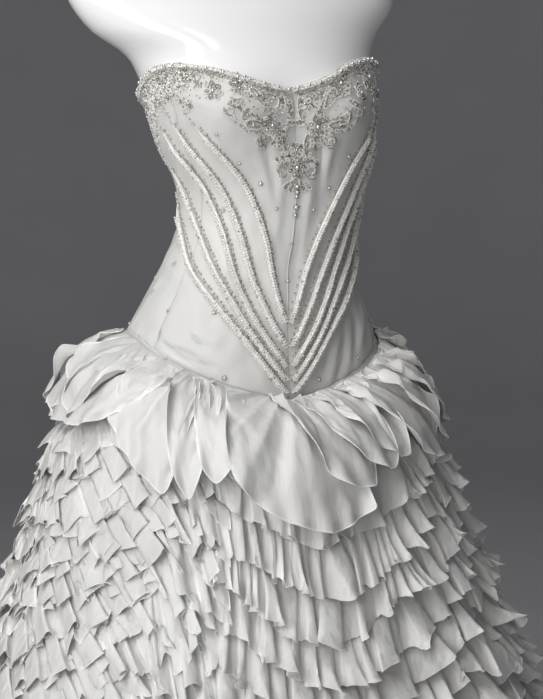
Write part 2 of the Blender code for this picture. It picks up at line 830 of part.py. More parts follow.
def build_tiers():
    """Ruffles in closed tiers, each gathered at its top and waved at its hem."""
    for tier in range(TIERS):
        head, hem = [], []
        fullness = min(1.0, TIER_TOP_FULLNESS + TIER_FULLNESS_STEP * tier)
        for column, angle in enumerate(GRID_ANGLES):
            top = tier_top(tier, angle)
            stand = fullness * (TIER_STAND + TIER_WAVE * tier_wave(tier, column))
            head.append(SKIRT_SURFACE.at(angle, top, TIER_GAP))
            hem.append(SKIRT_SURFACE.at(angle, top + TIER_LENGTH, stand))
        add_wall(f"ruffle_tier_{tier + 1:02d}", [head, hem], RUFFLE_WALL, True, TAFFETA, closed=True)


def petal_point(petal, across, down):
    """A point of a petal: across from -1 to 1, down from 0 at the seam to 1 at the hem."""
    side = petal.first_side + (petal.second_side - petal.first_side) * (across + 1) / 2
    side += (1 - side) * math.sqrt(1 - across**2)
    drop = PETAL_HEAD + (petal.length * side - PETAL_HEAD) * down
    angle = petal.angle + petal.half_span * across + petal.skew * down
    share = drop / (edge_height(YOKE_SEAM, angle) - HEM_HEIGHT)
    puff = smooth([p.drop for p in PETAL_PUFF], [p.share for p in PETAL_PUFF], drop - PETAL_HEAD)
    stand = PETAL_STAND + petal.layer * PETAL_LAYER_SPREAD
    stand += PETAL_FOLD * math.cos(math.pi * petal.folds * (across + 1))
    stand *= 1 - PETAL_LEAN * math.sin(math.radians(angle))
    return SKIRT_SURFACE.at(angle, share, PETAL_GAP + petal.layer * PETAL_LAYER_STEP + puff * stand)


def build_petals():
    """Petals round the yoke seam in two overlapping layers."""
    places = [2 * i / PETAL_COLUMNS - 1 for i in range(PETAL_COLUMNS + 1)]
    for number, petal in enumerate(PETALS, 1):
        grid = [[petal_point(petal, across, down) for across in places] for down in PETAL_ROWS]
        add_wall(f"petal_{number:02d}", grid, PETAL_WALL, True, TAFFETA)


def main():
    """Builds the whole part."""
    clear_scene()
    build_torso()
    build_neck_cap()
    build_stand()
    build_bodice()
    build_cords()
    build_neck_trim()
    build_appliques()
    build_closure()
    build_underskirt()
    build_tiers()
    build_petals()


main()
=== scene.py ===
"""Looks of a strapless ball gown on a limbless dress form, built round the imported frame.

Metres, +Z up. The gown's front faces -Y and the wearer's left is +X. Angles run round the figure in
degrees, from the front towards the wearer's left. The first tables repeat the part's own, so that
every piece here lies where its solid is.
"""

import math
from typing import NamedTuple

import bpy
import numpy as np
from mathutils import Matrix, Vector


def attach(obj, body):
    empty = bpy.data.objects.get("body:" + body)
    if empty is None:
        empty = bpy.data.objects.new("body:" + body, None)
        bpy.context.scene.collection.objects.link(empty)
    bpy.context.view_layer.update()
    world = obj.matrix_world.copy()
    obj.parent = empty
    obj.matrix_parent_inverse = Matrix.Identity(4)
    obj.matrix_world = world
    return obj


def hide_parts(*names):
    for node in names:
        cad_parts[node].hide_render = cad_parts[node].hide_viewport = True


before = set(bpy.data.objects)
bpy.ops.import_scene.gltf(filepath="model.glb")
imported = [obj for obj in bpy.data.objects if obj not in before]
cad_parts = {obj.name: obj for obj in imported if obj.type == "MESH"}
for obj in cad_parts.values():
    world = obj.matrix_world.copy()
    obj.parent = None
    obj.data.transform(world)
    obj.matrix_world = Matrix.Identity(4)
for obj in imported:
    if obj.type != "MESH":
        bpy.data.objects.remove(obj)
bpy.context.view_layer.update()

# --- Sizes shared with the part -----------------------------------------------------------------

SEAM_GAP = 0.0003
LAY_GAP = 0.0006
FIT_GAP = 0.0005
BODICE_WALL = 0.0020
BODICE_OUT = FIT_GAP + BODICE_WALL  # from the form's skin to the bodice's outer face
HEM_HEIGHT = 0.012
GATHER_DEPTH = 0.10
BASE_RADIUS = 0.215
BASE_THICKNESS = 0.014
POLE_RADIUS = 0.017
COLLAR_RADIUS = 0.034
COLLAR_HEIGHT = 0.050
NECK_CAP_HEIGHT = 0.016
CUP_DEPTH = 0.020
CUP_ANGLE = 29.0
CUP_ANGLE_SPREAD = 19.0
CUP_HEIGHT = 1.212
CUP_HEIGHT_SPREAD = 0.043
CUP_SIDEWAYS = 0.5
CORD_RADIUS = 0.0030
CORD_GAP = 0.0010
TIP_SPAN = 0.150
TRIM_RADIUS = 0.0032
NECKLINE_TILT = 0.007
TIERS = 18
TIER_START = 0.085
TIER_LENGTH = 0.062
TIER_GAP = 0.0009
SWAG_TOP = 0.45
SWAG_FULL = 0.32
SWAG_FADES = 0.50
PLACKET_HALF_ANGLE = 4.0
PLACKET_TOP = 0.95
PLACKET_FOOT = 0.02
PULL_LENGTH = 0.014
PETALS = 12
PETAL_HEAD = 0.004
PETAL_GAP = 0.0008
PETAL_LAYER_STEP = 0.0026


class Section(NamedTuple):
    """A level section: half an ellipse in front of its centre and half of another behind it."""

    height: float
    half_width: float
    front: float
    back: float
    centre_x: float
    centre_y: float


FIGURE = tuple(Section(*row) for row in (
    (0.780, 0.118, 0.085, 0.092, -0.024, 0.020), (0.800, 0.146, 0.110, 0.112, -0.024, 0.020),
    (0.850, 0.168, 0.133, 0.130, -0.024, 0.020), (0.900, 0.167, 0.134, 0.128, -0.024, 0.018),
    (0.945, 0.156, 0.124, 0.118, -0.024, 0.012), (0.980, 0.1400, 0.113, 0.104, -0.022, 0.008),
    (1.020, 0.1235, 0.101, 0.092, -0.018, 0.004), (1.060, 0.1125, 0.093, 0.084, -0.011, 0.000),
    (1.090, 0.1120, 0.090, 0.083, -0.006, 0.000), (1.125, 0.1175, 0.090, 0.086, -0.003, 0.000),
    (1.170, 0.1340, 0.094, 0.096, -0.007, 0.000), (1.226, 0.1480, 0.099, 0.104, -0.012, 0.000),
    (1.260, 0.1515, 0.097, 0.106, -0.019, 0.002), (1.285, 0.1590, 0.092, 0.106, -0.028, 0.004),
    (1.311, 0.1840, 0.086, 0.102, -0.043, 0.008), (1.350, 0.2120, 0.077, 0.094, -0.044, 0.014),
    (1.385, 0.2160, 0.067, 0.084, -0.045, 0.020), (1.410, 0.2000, 0.059, 0.073, -0.046, 0.024),
    (1.430, 0.1500, 0.054, 0.063, -0.048, 0.026), (1.447, 0.0870, 0.050, 0.056, -0.049, 0.026),
    (1.470, 0.0590, 0.048, 0.052, -0.050, 0.024), (1.520, 0.0550, 0.050, 0.052, -0.052, 0.018),
))
SKIRT = tuple(Section(*row) for row in (
    (0.010, 0.530, 0.465, 0.590, -0.010, 0.080), (0.250, 0.436, 0.384, 0.480, -0.010, 0.065),
    (0.490, 0.339, 0.300, 0.368, -0.012, 0.050), (0.640, 0.280, 0.250, 0.298, -0.015, 0.040),
    (0.740, 0.249, 0.224, 0.256, -0.020, 0.032), (0.840, 0.215, 0.192, 0.208, -0.024, 0.025),
    (0.900, 0.192, 0.168, 0.176, -0.026, 0.020), (0.950, 0.165, 0.138, 0.130, -0.024, 0.014),
))

# Heights of two symmetric edges, at angles to either side of the centre front.
NECKLINE = (
    (0, 1.2420), (10, 1.2470), (20, 1.2560), (32, 1.2680), (47, 1.2750), (62, 1.2750), (76, 1.2660),
    (95, 1.2480), (130, 1.2260), (180, 1.2120),
)
YOKE_SEAM = (
    (0, 0.8700), (20, 0.8850), (45, 0.9090), (70, 0.9370), (90, 0.9480), (120, 0.9480), (150, 0.9360),
    (180, 0.9280),
)

# How far the tiers are looped up, or hang down where it is negative, at angles all round.
SWAGS = (
    (-180, 0.000), (-140, -0.028), (-103, -0.092), (-72, 0.000), (-47, 0.090), (-26, 0.000), (-2, -0.078),
    (28, -0.026), (63, 0.016), (95, 0.032), (135, 0.010), (180, 0.000),
)


class Panel(NamedTuple):
    """A cut piece between two seams."""

    name: str
    start: float
    stop: float


BODICE_PANELS = (
    Panel("front_left", 0, 63),
    Panel("side_left", 63, 117),
    Panel("back_left", 117, 180),
    Panel("front_right", -63, 0),
    Panel("side_right", -117, -63),
    Panel("back_right", -180, -117),
)
SKIRT_PANELS = (
    Panel("front", -45, 45),
    Panel("side_left", 45, 135),
    Panel("back", 135, 225),
    Panel("side_right", -135, -45),
)


class Cord(NamedTuple):
    """A corded seam of the wearer's left half, from its top down to the centre front."""

    top_angle: float
    top_height: float
    upper_angle: float
    upper_height: float
    lower_angle: float
    lower_height: float
    tip_height: float


CORDS = tuple(Cord(*row) for row in (
    (51, 1.195, 38, 1.150, 15, 1.052, 0.962), (67, 1.200, 51, 1.138, 22, 1.025, 0.934),
    (79, 1.192, 60, 1.125, 26, 1.005, 0.911), (89, 1.146, 68, 1.085, 28, 0.988, 0.893),
    (97, 1.102, 72, 1.052, 26, 0.962, 0.877),
))

# --- Curves and surfaces ------------------------------------------------------------------------


def smooth(knots, values, at):
    """A cubic through the values at the knots, with the slope at a knot from its neighbours."""
    knots, values = np.asarray(knots, float), np.asarray(values, float)
    at = np.clip(np.asarray(at, float), knots[0], knots[-1])
    low = np.clip(np.searchsorted(knots, at, "right") - 1, 0, len(knots) - 2)
    before = np.maximum(np.arange(len(knots)) - 1, 0)
    after = np.minimum(np.arange(len(knots)) + 1, len(knots) - 1)
    slopes = (values[after] - values[before]) / (knots[after] - knots[before])
    span = knots[low + 1] - knots[low]
    t = (at - knots[low]) / span
    start_weight = 2 * t**3 - 3 * t**2 + 1
    return (
        start_weight * values[low]
        + (1 - start_weight) * values[low + 1]
        + (t**3 - 2 * t**2 + t) * span * slopes[low]
        + (t**3 - t**2) * span * slopes[low + 1]
    )


def wrap(angle):
    """An angle brought to between -180 and 180."""
    return (np.asarray(angle, float) + 180) % 360 - 180


def edge_height(edge, angle):
    """The height of a symmetric edge at an angle."""
    return smooth(*zip(*edge), np.abs(wrap(angle)))


def neck_height(angle):
    """The neckline's height at an angle."""
    return edge_height(NECKLINE, angle) + NECKLINE_TILT * np.sin(np.radians(angle))


def bodice_height(angle, share):
    """The height at a share of the way from the yoke seam up to the neckline."""
    low = edge_height(YOKE_SEAM, angle)
    return low + (neck_height(angle) - low) * share


def bodice_share(angle, height):
    """The share of the bodice's height at which a height lies."""
    low = edge_height(YOKE_SEAM, angle)
    return (height - low) / (neck_height(angle) - low)


def skirt_height(angle):
    """The underskirt's height at an angle, from its seam to its hem."""
    return edge_height(YOKE_SEAM, angle) - HEM_HEIGHT


def ring_points(sections, angle, height):
    """Points of the outlines of sections, at angles and heights."""
    knots = [s.height for s in sections]
    columns = np.array(sections).T[1:]
    half_width, front, back, centre_x, centre_y = (smooth(knots, c, height) for c in columns)
    turn = np.radians(angle)
    depth = np.where(np.cos(turn) > 0, front, back)
    x = centre_x + half_width * np.sin(turn)
    y = centre_y - depth * np.cos(turn)
    return np.stack(np.broadcast_arrays(x, y, height), axis=-1)


def figure_points(angle, height):
    """Points of the form's skin."""
    points = ring_points(FIGURE, angle, height)
    sideways = (np.abs(wrap(angle)) - CUP_ANGLE) / CUP_ANGLE_SPREAD
    upward = (height - CUP_HEIGHT) / CUP_HEIGHT_SPREAD
    swell = CUP_DEPTH * np.exp(-(sideways**2) - upward**2)
    turn = np.radians(angle)
    out = np.stack(np.broadcast_arrays(np.sin(turn) * CUP_SIDEWAYS, -np.cos(turn), 0 * height), -1)
    out /= np.linalg.norm(out, axis=-1, keepdims=True)
    return points + out * swell[..., None]


def bodice_skin(angle, share):
    """Points of the form's skin, at shares of the way from the yoke seam up to the neckline."""
    return figure_points(angle, bodice_height(angle, share))


def skirt_skin(angle, share):
    """Points of the underskirt's outer face, at shares of the way from its seam to its hem."""
    seam = edge_height(YOKE_SEAM, angle) - SEAM_GAP
    height = seam + (HEM_HEIGHT - seam) * share
    hung = ring_points(SKIRT, angle, height)
    waist = figure_points(angle, seam)
    outward = (hung - waist) * (1, 1, 0)
    waist = waist + outward / np.linalg.norm(outward, axis=-1, keepdims=True) * BODICE_OUT
    spring = 1 - (1 - np.minimum((seam - height) / GATHER_DEPTH, 1.0)) ** 2
    points = waist + (hung - waist) * spring[..., None]
    points[..., 2] = height
    return points


class Surface:
    """A smooth surface over angles and shares, sampled finely once and then read between samples."""

    COLUMN_STEP = 1.5
    ROWS = 181

    def __init__(self, skin, level):
        angles = np.arange(0, 360 + self.COLUMN_STEP / 2, self.COLUMN_STEP)
        angle, share = np.meshgrid(angles, np.linspace(0, 1, self.ROWS))
        self.points = skin(angle, share)
        around = np.concatenate([self.points[:, -2:-1], self.points, self.points[:, 1:2]], axis=1)
        across = around[:, 2:] - around[:, :-2]
        along = np.gradient(self.points, axis=0)
        along = np.where(along[..., 2:] < 0, -along, along)
        if level:
            across[..., 2] = 0
            along[:] = (0, 0, 1)
        normals = np.cross(across, along)
        self.normals = normals / np.linalg.norm(normals, axis=-1, keepdims=True)

    def read(self, angle, share):
        """The points and the outward normals at angles and shares."""
        column = (np.asarray(angle, float) % 360) / self.COLUMN_STEP
        row = np.clip(share, 0, 1) * (self.ROWS - 1)
        left = np.minimum(column.astype(int), self.points.shape[1] - 2)
        low = np.minimum(row.astype(int), self.ROWS - 2)
        x, y = (column - left)[..., None], (row - low)[..., None]
        found = []
        for table in (self.points, self.normals):
            upper = table[low, left] * (1 - x) + table[low, left + 1] * x
            lower = table[low + 1, left] * (1 - x) + table[low + 1, left + 1] * x
            found.append(upper * (1 - y) + lower * y)
        return found

    def at(self, angle, share, out):
        """The points at angles and shares, moved out by distances."""
        angle, share, out = np.broadcast_arrays(angle, share, out)
        points, normals = self.read(angle, share)
        return points + normals * out[..., None]


BODICE = Surface(bodice_skin, level=True)
UNDERSKIRT = Surface(skirt_skin, level=False)


def on_bodice(angle, height, out):
    """The points at angles and heights on the bodice, moved out from the form's skin."""
    return BODICE.at(angle, bodice_share(angle, height), out)


def run_along(points):
    """How far each point of a line lies along it."""
    return np.concatenate([[0], np.cumsum(np.linalg.norm(np.diff(points, axis=0), axis=1))])


def run_length(points):
    """The length of a line of points."""
    return float(np.linalg.norm(np.diff(points, axis=0), axis=1).sum())


# --- Meshes -------------------------------------------------------------------------------------

# Degrees between two faces from which the edge between them is sharp.
SHELL_SHARP = 62
FORM_SHARP = 50
METAL_SHARP = 40
BEAD_SHARP = 100


def grid_quads(rows, columns, closed):
    """The faces of a grid of points, looking out of the figure, as indices into its points."""
    upper = np.arange(rows - 1)[:, None] * columns
    left = np.arange(columns if closed else columns - 1)[None, :]
    right = (left + 1) % columns
    quads = np.stack([upper + left, upper + columns + left, upper + columns + right, upper + right], -1)
    return quads.reshape(-1, 4)


def capped_faces(rows, columns):
    """The faces of a grid that closes round, with a cap at each end."""
    last = (rows - 1) * columns
    caps = [list(range(columns)), [last + i for i in reversed(range(columns))]]
    return [list(q) for q in grid_quads(rows, columns, True)] + caps


def looped_faces(rows, columns):
    """The faces of a grid that closes round both ways."""
    last = (rows - 1) * columns
    joins = [[last + i, i, (i + 1) % columns, last + (i + 1) % columns] for i in range(columns)]
    return [list(q) for q in grid_quads(rows, columns, True)] + joins


def add_mesh(name, points, faces, materials, slots=None, sharp=None):
    """A smooth object, with each face's material slot and the angle from which its edges are sharp."""
    data = bpy.data.meshes.new(name)
    data.from_pydata(np.asarray(points).reshape(-1, 3), [], [list(f) for f in faces])
    for material in materials:
        data.materials.append(material)
    if slots is not None:
        data.polygons.foreach_set("material_index", np.asarray(slots, dtype=np.int32))
    data.shade_smooth()
    data.update()
    if sharp is not None:
        data.set_sharp_from_angle(angle=math.radians(sharp))
    obj = bpy.data.objects.new(name, data)
    bpy.context.scene.collection.objects.link(obj)
    return obj


def add_shell(name, outer, inner, material):
    """A thin closed wall between two grids of points, whose rows run from top to bottom."""
    rows, columns = outer.shape[:2]
    face = grid_quads(rows, columns, False)
    lift = rows * columns
    first = np.arange(columns - 1)
    last = first + (rows - 1) * columns
    down = np.arange(rows - 1) * columns
    far = down + columns - 1
    edges = (
        (first + lift, first, first + 1, first + 1 + lift),
        (last, last + lift, last + 1 + lift, last + 1),
        (down + lift, down + columns + lift, down + columns, down),
        (far, far + columns, far + columns + lift, far + lift),
    )
    faces = np.concatenate([face, face[:, ::-1] + lift, *(np.stack(e, -1) for e in edges)])
    points = np.concatenate([outer.reshape(-1, 3), inner.reshape(-1, 3)])
    return add_mesh(name, points, faces, [material], sharp=SHELL_SHARP)


def tube_mesh(points, radius, sides, closed=False):
    """The points and faces of a tube along a line, capped unless it is closed."""
    points = np.asarray(points, float)
    ahead = np.gradient(points, axis=0)
    ahead /= np.linalg.norm(ahead, axis=1, keepdims=True)
    side = np.cross(ahead, (0, 0, 1.0))
    short = np.linalg.norm(side, axis=1, keepdims=True)
    side = np.where(short > 1e-6, side / np.maximum(short, 1e-6), (1.0, 0, 0))
    up = np.cross(side, ahead)
    turn = np.linspace(0, 2 * math.pi, sides, endpoint=False)
    ring = side[:, None] * np.cos(turn)[:, None] + up[:, None] * np.sin(turn)[:, None]
    rings = points[:, None] + ring * np.broadcast_to(radius, len(points))[:, None, None]
    faces = looped_faces(len(points), sides) if closed else capped_faces(len(points), sides)
    return rings.reshape(-1, 3), faces


def add_sheet(name, grids, material, rings, roll, sides):
    """Thin cloth through grids of points, some closed round, with a fine rolled hem on its free edges, in
    a lighter cloth whose colour is a painted highlight.
    """
    points, faces, slots, start = [], [], [], 0
    for grid, ring in zip(grids, rings):
        rows, columns = grid.shape[:2]
        border = grid[-1] if ring else np.concatenate([grid[1:-1, 0], grid[-1], grid[-2:0:-1, -1]])
        cloth = grid.reshape(-1, 3), grid_quads(rows, columns, ring)
        for slot, (part, part_faces) in enumerate((cloth, tube_mesh(border, roll, sides, ring))):
            points.append(part)
            slots += [slot] * len(part_faces)
            faces += [[i + start for i in f] for f in part_faces]
            start += len(part)
    return add_mesh(name, np.concatenate(points), faces, [material, HEM_HIGHLIGHT_CLOTH], slots)


def add_turned(name, profile, sides, material):
    """A body turned about the Z axis from a profile of (radius, height), top to bottom."""
    turn = np.linspace(0, 2 * math.pi, sides, endpoint=False)
    rings = [[(r * math.cos(t), r * math.sin(t), z) for t in turn] for r, z in profile]
    return add_mesh(name, rings, capped_faces(len(profile), sides), [material], sharp=METAL_SHARP)


def settle(obj, slot, *nodes):
    """Makes a piece ride on the part and stand for its solids."""
    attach(obj, "root")
    if nodes:
        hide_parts(*nodes)
    return obj


# --- Materials ----------------------------------------------------------------------------------


class Cloth(NamedTuple):
    """How a cloth looks: its colours, sheen and the bumps of its weave and crumple."""

    colour: tuple
    shade: tuple
    roughness: float
    sheen: float
    thread: float  # metres between threads
    thread_depth: float
    crumple: float  # metres across a crumple
    crumple_depth: float
    stretch: tuple  # how the crumples are drawn out along X, Y and Z
    crease_depth: float  # of the fine upright creases


CREASE_WIDTH = 0.0075  # metres between the fine upright creases
CREASE_STRETCH = (1.0, 1.0, 0.14)
THREAD_WAVES = 2 * math.pi / 20  # of the wave texture in a unit of its scale
TINT_SCALE = 9.0
GLOW = 0.7  # the share of the light that spreads from fold to fold
GLOW_TINT = (1.0, 0.98, 0.94)
GLOW_REACH = 0.009  # metres that it spreads


def new_material(name, inputs):
    """A material, its nodes, its links and its shader, with constants on the shader's inputs."""
    material = bpy.data.materials.new(name)
    material.use_nodes = True
    tree = material.node_tree
    shader = tree.nodes["Principled BSDF"]
    for key, value in inputs.items():
        shader.inputs[key].default_value = value
    return material, tree.nodes, tree.links, shader


def object_noise(nodes, links, scale, detail, stretch=(1.0, 1.0, 1.0)):
    """A noise over the object's own coordinates."""
    place = nodes.new("ShaderNodeTexCoord")
    mapping = nodes.new("ShaderNodeMapping")
    mapping.inputs["Scale"].default_value = stretch
    noise = nodes.new("ShaderNodeTexNoise")
    noise.inputs["Scale"].default_value = scale
    noise.inputs["Detail"].default_value = detail
    links.new(place.outputs["Object"], mapping.inputs["Vector"])
    links.new(mapping.outputs["Vector"], noise.inputs["Vector"])
    return noise


def tinted(nodes, links, shader, noise, shade, colour):
    """Colours a shader from one colour to another by a noise."""
    ramp = nodes.new("ShaderNodeValToRGB")
    for element, position, tint in zip(ramp.color_ramp.elements, (0.35, 0.65), (shade, colour)):
        element.position = position
        element.color = (*tint, 1)
    links.new(noise.outputs["Fac"], ramp.inputs["Fac"])
    links.new(ramp.outputs["Color"], shader.inputs["Base Color"])


def bumped(nodes, links, shader, height, distance, under=None):
    """Adds a bump, over another one if it is given."""
    bump = nodes.new("ShaderNodeBump")
    bump.inputs["Distance"].default_value = distance
    links.new(height, bump.inputs["Height"])
    if under is not None:
        links.new(under.outputs["Normal"], bump.inputs["Normal"])
    links.new(bump.outputs["Normal"], shader.inputs["Normal"])
    return bump


def cloth_material(name, *values):
    """A woven cloth: a soft tint, crossing threads, drawn out crumples and fine upright creases."""
    cloth = Cloth(*values)
    material, nodes, links, shader = new_material(name, {
        "Subsurface Weight": GLOW,
        "Subsurface Radius": GLOW_TINT,
        "Subsurface Scale": GLOW_REACH,
        "Roughness": cloth.roughness,
        "Sheen Weight": cloth.sheen,
        "Sheen Roughness": 0.35,
        "Specular IOR Level": 0.40,
    })
    shader.subsurface_method = "BURLEY"
    tint = object_noise(nodes, links, TINT_SCALE, 3.0)
    tinted(nodes, links, shader, tint, cloth.shade, cloth.colour)
    crumple = object_noise(nodes, links, 1 / cloth.crumple, 1.5, cloth.stretch)
    base = bumped(nodes, links, shader, crumple.outputs["Fac"], cloth.crumple_depth)
    crease = object_noise(nodes, links, 1 / CREASE_WIDTH, 1.0, CREASE_STRETCH)
    base = bumped(nodes, links, shader, crease.outputs["Fac"], cloth.crease_depth, base)
    place = nodes.new("ShaderNodeTexCoord")
    threads = []
    for way in ("X", "Z"):
        wave = nodes.new("ShaderNodeTexWave")
        wave.bands_direction = way
        wave.inputs["Scale"].default_value = THREAD_WAVES / cloth.thread
        wave.inputs["Distortion"].default_value = 0.6
        links.new(place.outputs["Object"], wave.inputs["Vector"])
        threads.append(wave)
    weave = nodes.new("ShaderNodeMath")
    weave.operation = "ADD"
    for thread, socket in zip(threads, weave.inputs):
        links.new(thread.outputs["Fac"], socket)
    bumped(nodes, links, shader, weave.outputs[0], cloth.thread_depth, base)
    return material


def hard_material(name, colour, shade, roughness, metallic, grain, grain_depth, coat=0.0):
    """A hard finish with a faint tint and grain."""
    material, nodes, links, shader = new_material(name, {
        "Roughness": roughness, "Metallic": metallic, "Coat Weight": coat, "Coat Roughness": 0.08,
    })
    noise = object_noise(nodes, links, grain, 2.0)
    tinted(nodes, links, shader, noise, shade, colour)
    bumped(nodes, links, shader, noise.outputs["Fac"], grain_depth)
    return material


SATIN_CLOTH = cloth_material("satin", (0.74, 0.732, 0.715), (0.69, 0.68, 0.658), 0.40, 0.08,
                             0.0009, 0.00004, 0.034, 0.0055, (1.0, 1.0, 0.7), 0.0002)
TAFFETA_CLOTH = cloth_material("taffeta", (0.768, 0.760, 0.744), (0.712, 0.702, 0.682), 0.38, 0.08,
                               0.0010, 0.00005, 0.018, 0.0050, (1.0, 1.0, 0.4), 0.0016)
PETAL_CLOTH = cloth_material("petal_taffeta", (0.768, 0.760, 0.744), (0.712, 0.702, 0.682), 0.38, 0.08,
                             0.0010, 0.00005, 0.022, 0.0026, (1.0, 1.0, 0.5), 0.0007)
# The rolled hem is the same white cloth painted lighter: a painted highlight along the edges of the
# ruffles and petals.
HEM_HIGHLIGHT_CLOTH = cloth_material("rolled_hem_painted_highlight", (0.93, 0.922, 0.905), (0.88, 0.87, 0.85), 0.30, 0.10,
                           0.0010, 0.00002, 0.018, 0.0001, (1.0, 1.0, 0.4), 0.0001)
LINING_CLOTH = cloth_material("underskirt_cloth", (0.80, 0.79, 0.76), (0.72, 0.71, 0.68), 0.62, 0.20,
                              0.0012, 0.00008, 0.040, 0.0008, (1.0, 1.0, 0.4), 0.0002)
PEARL = hard_material("pearl_beads", (0.94, 0.925, 0.895), (0.84, 0.82, 0.78), 0.28, 0.0,
                      900.0, 0.0001, 0.4)
SILVER = hard_material("silver_beads", (0.76, 0.71, 0.62), (0.43, 0.39, 0.32), 0.16, 0.85,
                       700.0, 0.0001)
CRYSTAL = hard_material("clear_stones", (0.97, 0.97, 0.98), (0.70, 0.71, 0.74), 0.07, 0.7,
                        500.0, 0.00005, 0.8)
FORM_GLOSS = hard_material("form_gloss", (0.97, 0.968, 0.972), (0.95, 0.947, 0.953), 0.20, 0.0,
                           6.0, 0.0002, 0.5)
STEEL = hard_material("brushed_steel", (0.62, 0.62, 0.64), (0.50, 0.50, 0.52), 0.28, 1.0,
                      300.0, 0.00005)

# --- The dress form -----------------------------------------------------------------------------

FORM_STEP = 4.0  # degrees
FORM_ROWS = 110
BASE_ROUND = 0.010
# Shares of the neck's width and of the cap's height, from the cap's top down.
NECK_CAP = ((0.30, 1.0), (0.55, 0.97), (0.76, 0.88), (0.90, 0.72), (0.985, 0.45), (1.0, 0.18), (1.0, 0.0))


def build_form():
    """The glossy torso and neck cap, and the pole and base that they stand on."""
    angles = np.arange(0, 360, FORM_STEP)
    levels = np.linspace(FIGURE[-1].height, FIGURE[0].height, FORM_ROWS)
    faces = capped_faces(len(levels), len(angles))
    rings = figure_points(*np.meshgrid(angles, levels))
    settle(add_mesh("smooth_torso", rings, faces, [FORM_GLOSS], sharp=FORM_SHARP), "form", "form_torso")

    neck = FIGURE[-1]
    width, rise = np.array(NECK_CAP).T[..., None]
    turn = np.radians(angles)
    depth = np.where(np.cos(turn) > 0, neck.front, neck.back)
    x = neck.centre_x + width * neck.half_width * np.sin(turn)
    y = neck.centre_y - width * depth * np.cos(turn)
    z = np.broadcast_to(neck.height + SEAM_GAP + NECK_CAP_HEIGHT * rise, x.shape)
    faces = capped_faces(len(rise), len(angles))
    cap = add_mesh("domed_neck_cap", np.stack([x, y, z], -1), faces, [STEEL], sharp=FORM_SHARP)
    settle(cap, "form", "form_neck_cap")

    underside = FIGURE[0].height - SEAM_GAP
    collar = underside - COLLAR_HEIGHT
    profile = (
        (COLLAR_RADIUS - 0.001, underside),
        (COLLAR_RADIUS, underside - 0.001),
        (COLLAR_RADIUS, underside - 0.012),
        (COLLAR_RADIUS - 0.002, underside - 0.014),
        (COLLAR_RADIUS - 0.002, underside - 0.024),
        (COLLAR_RADIUS, underside - 0.026),
        (COLLAR_RADIUS, collar + 0.010),
        (POLE_RADIUS + 0.002, collar + 0.001),
        (POLE_RADIUS, collar),
        (POLE_RADIUS, BASE_THICKNESS + SEAM_GAP),
    )
    settle(add_turned("collar_and_pole", profile, 48, STEEL), "steel", "form_pole")

    edge = []
    for t in np.linspace(0, math.pi / 2, 7):
        inward, down = BASE_ROUND * (1 - math.sin(t)), BASE_ROUND / 2 * (1 - math.cos(t))
        edge.append((BASE_RADIUS - inward, BASE_THICKNESS - down))
    profile = ((0.030, BASE_THICKNESS), *edge, (BASE_RADIUS, 0.001), (BASE_RADIUS - 0.001, 0.0))
    settle(add_turned("round_base", profile, 128, FORM_GLOSS), "form", "form_base")


# --- The bodice ---------------------------------------------------------------------------------


class Crease(NamedTuple):
    """A soft trough (negative) or ridge along a line on the bodice, from one place to another."""

    angle: float
    height: float
    to_angle: float
    to_height: float
    width: float
    depth: float


CREASES = tuple(Crease(*row) for row in (
    (-17, 1.188, -14, 1.128, 0.0060, -0.0022), (-21, 1.180, -17, 1.118, 0.0050, 0.0016),
    (-11, 1.176, -9, 1.096, 0.0055, 0.0016), (-6, 1.120, -5, 1.050, 0.0070, -0.0014),
    (13, 1.190, 15, 1.120, 0.0060, -0.0024), (19, 1.182, 20, 1.134, 0.0050, 0.0018),
    (25, 1.176, 23, 1.128, 0.0055, -0.0018), (9, 1.128, 8, 1.060, 0.0060, 0.0012),
    (4, 1.110, 5, 1.030, 0.0060, -0.0010), (-98, 1.058, -70, 1.040, 0.0055, -0.0016),
    (-100, 1.040, -74, 1.022, 0.0060, 0.0014), (-95, 1.020, -66, 1.000, 0.0060, -0.0014),
    (-88, 1.088, -64, 1.078, 0.0050, 0.0012), (-112, 1.074, -90, 1.070, 0.0060, -0.0014),
    (-60, 0.985, -35, 0.930, 0.0090, -0.0010), (-50, 0.960, -22, 0.905, 0.0090, 0.0010),
    (92, 1.066, 68, 1.048, 0.0055, -0.0016), (100, 1.044, 72, 1.024, 0.0060, 0.0013),
    (96, 1.018, 60, 0.990, 0.0070, -0.0014), (50, 0.985, 30, 0.925, 0.0090, -0.0010),
    (124, 1.070, 150, 1.058, 0.0060, -0.0015), (-120, 1.046, -156, 1.036, 0.0060, -0.0015),
    (128, 1.030, 165, 1.020, 0.0070, 0.0012), (-124, 1.092, -150, 1.086, 0.0060, 0.0012),
    (-59, 0.938, -34, 0.913, 0.0042, -0.0034), (-54, 0.927, -37, 0.905, 0.0040, 0.0028),
    (-46, 0.950, -33, 0.928, 0.0042, -0.0024), (-72, 0.952, -54, 0.946, 0.0050, -0.0016),
    (14, 0.886, 20, 0.930, 0.0040, -0.0020), (19, 0.886, 26, 0.936, 0.0040, 0.0018),
    (23, 0.890, 31, 0.948, 0.0044, -0.0026), (29, 0.895, 37, 0.955, 0.0044, 0.0020),
    (34, 0.902, 43, 0.962, 0.0048, -0.0024), (42, 0.930, 58, 0.978, 0.0050, 0.0018),
    (140, 0.996, 170, 0.975, 0.0080, -0.0012), (-138, 1.000, -168, 0.978, 0.0080, -0.0012),
))
MEAN_RADIUS = 0.125  # the figure's, to turn degrees into metres along the cloth
PANEL_STEP = 1.9  # degrees
PANEL_ROWS = 104
PANEL_CROWDING = 0.93  # the power that spaces a panel's columns
PANEL_RADIUS = 0.115  # the bodice's, to turn a seam's gap into degrees
WELT_WIDTH = 0.0030
WELT_DEPTH = 0.0009
FRONT_WELT = 0.2  # the share of that depth that the centre front seam has


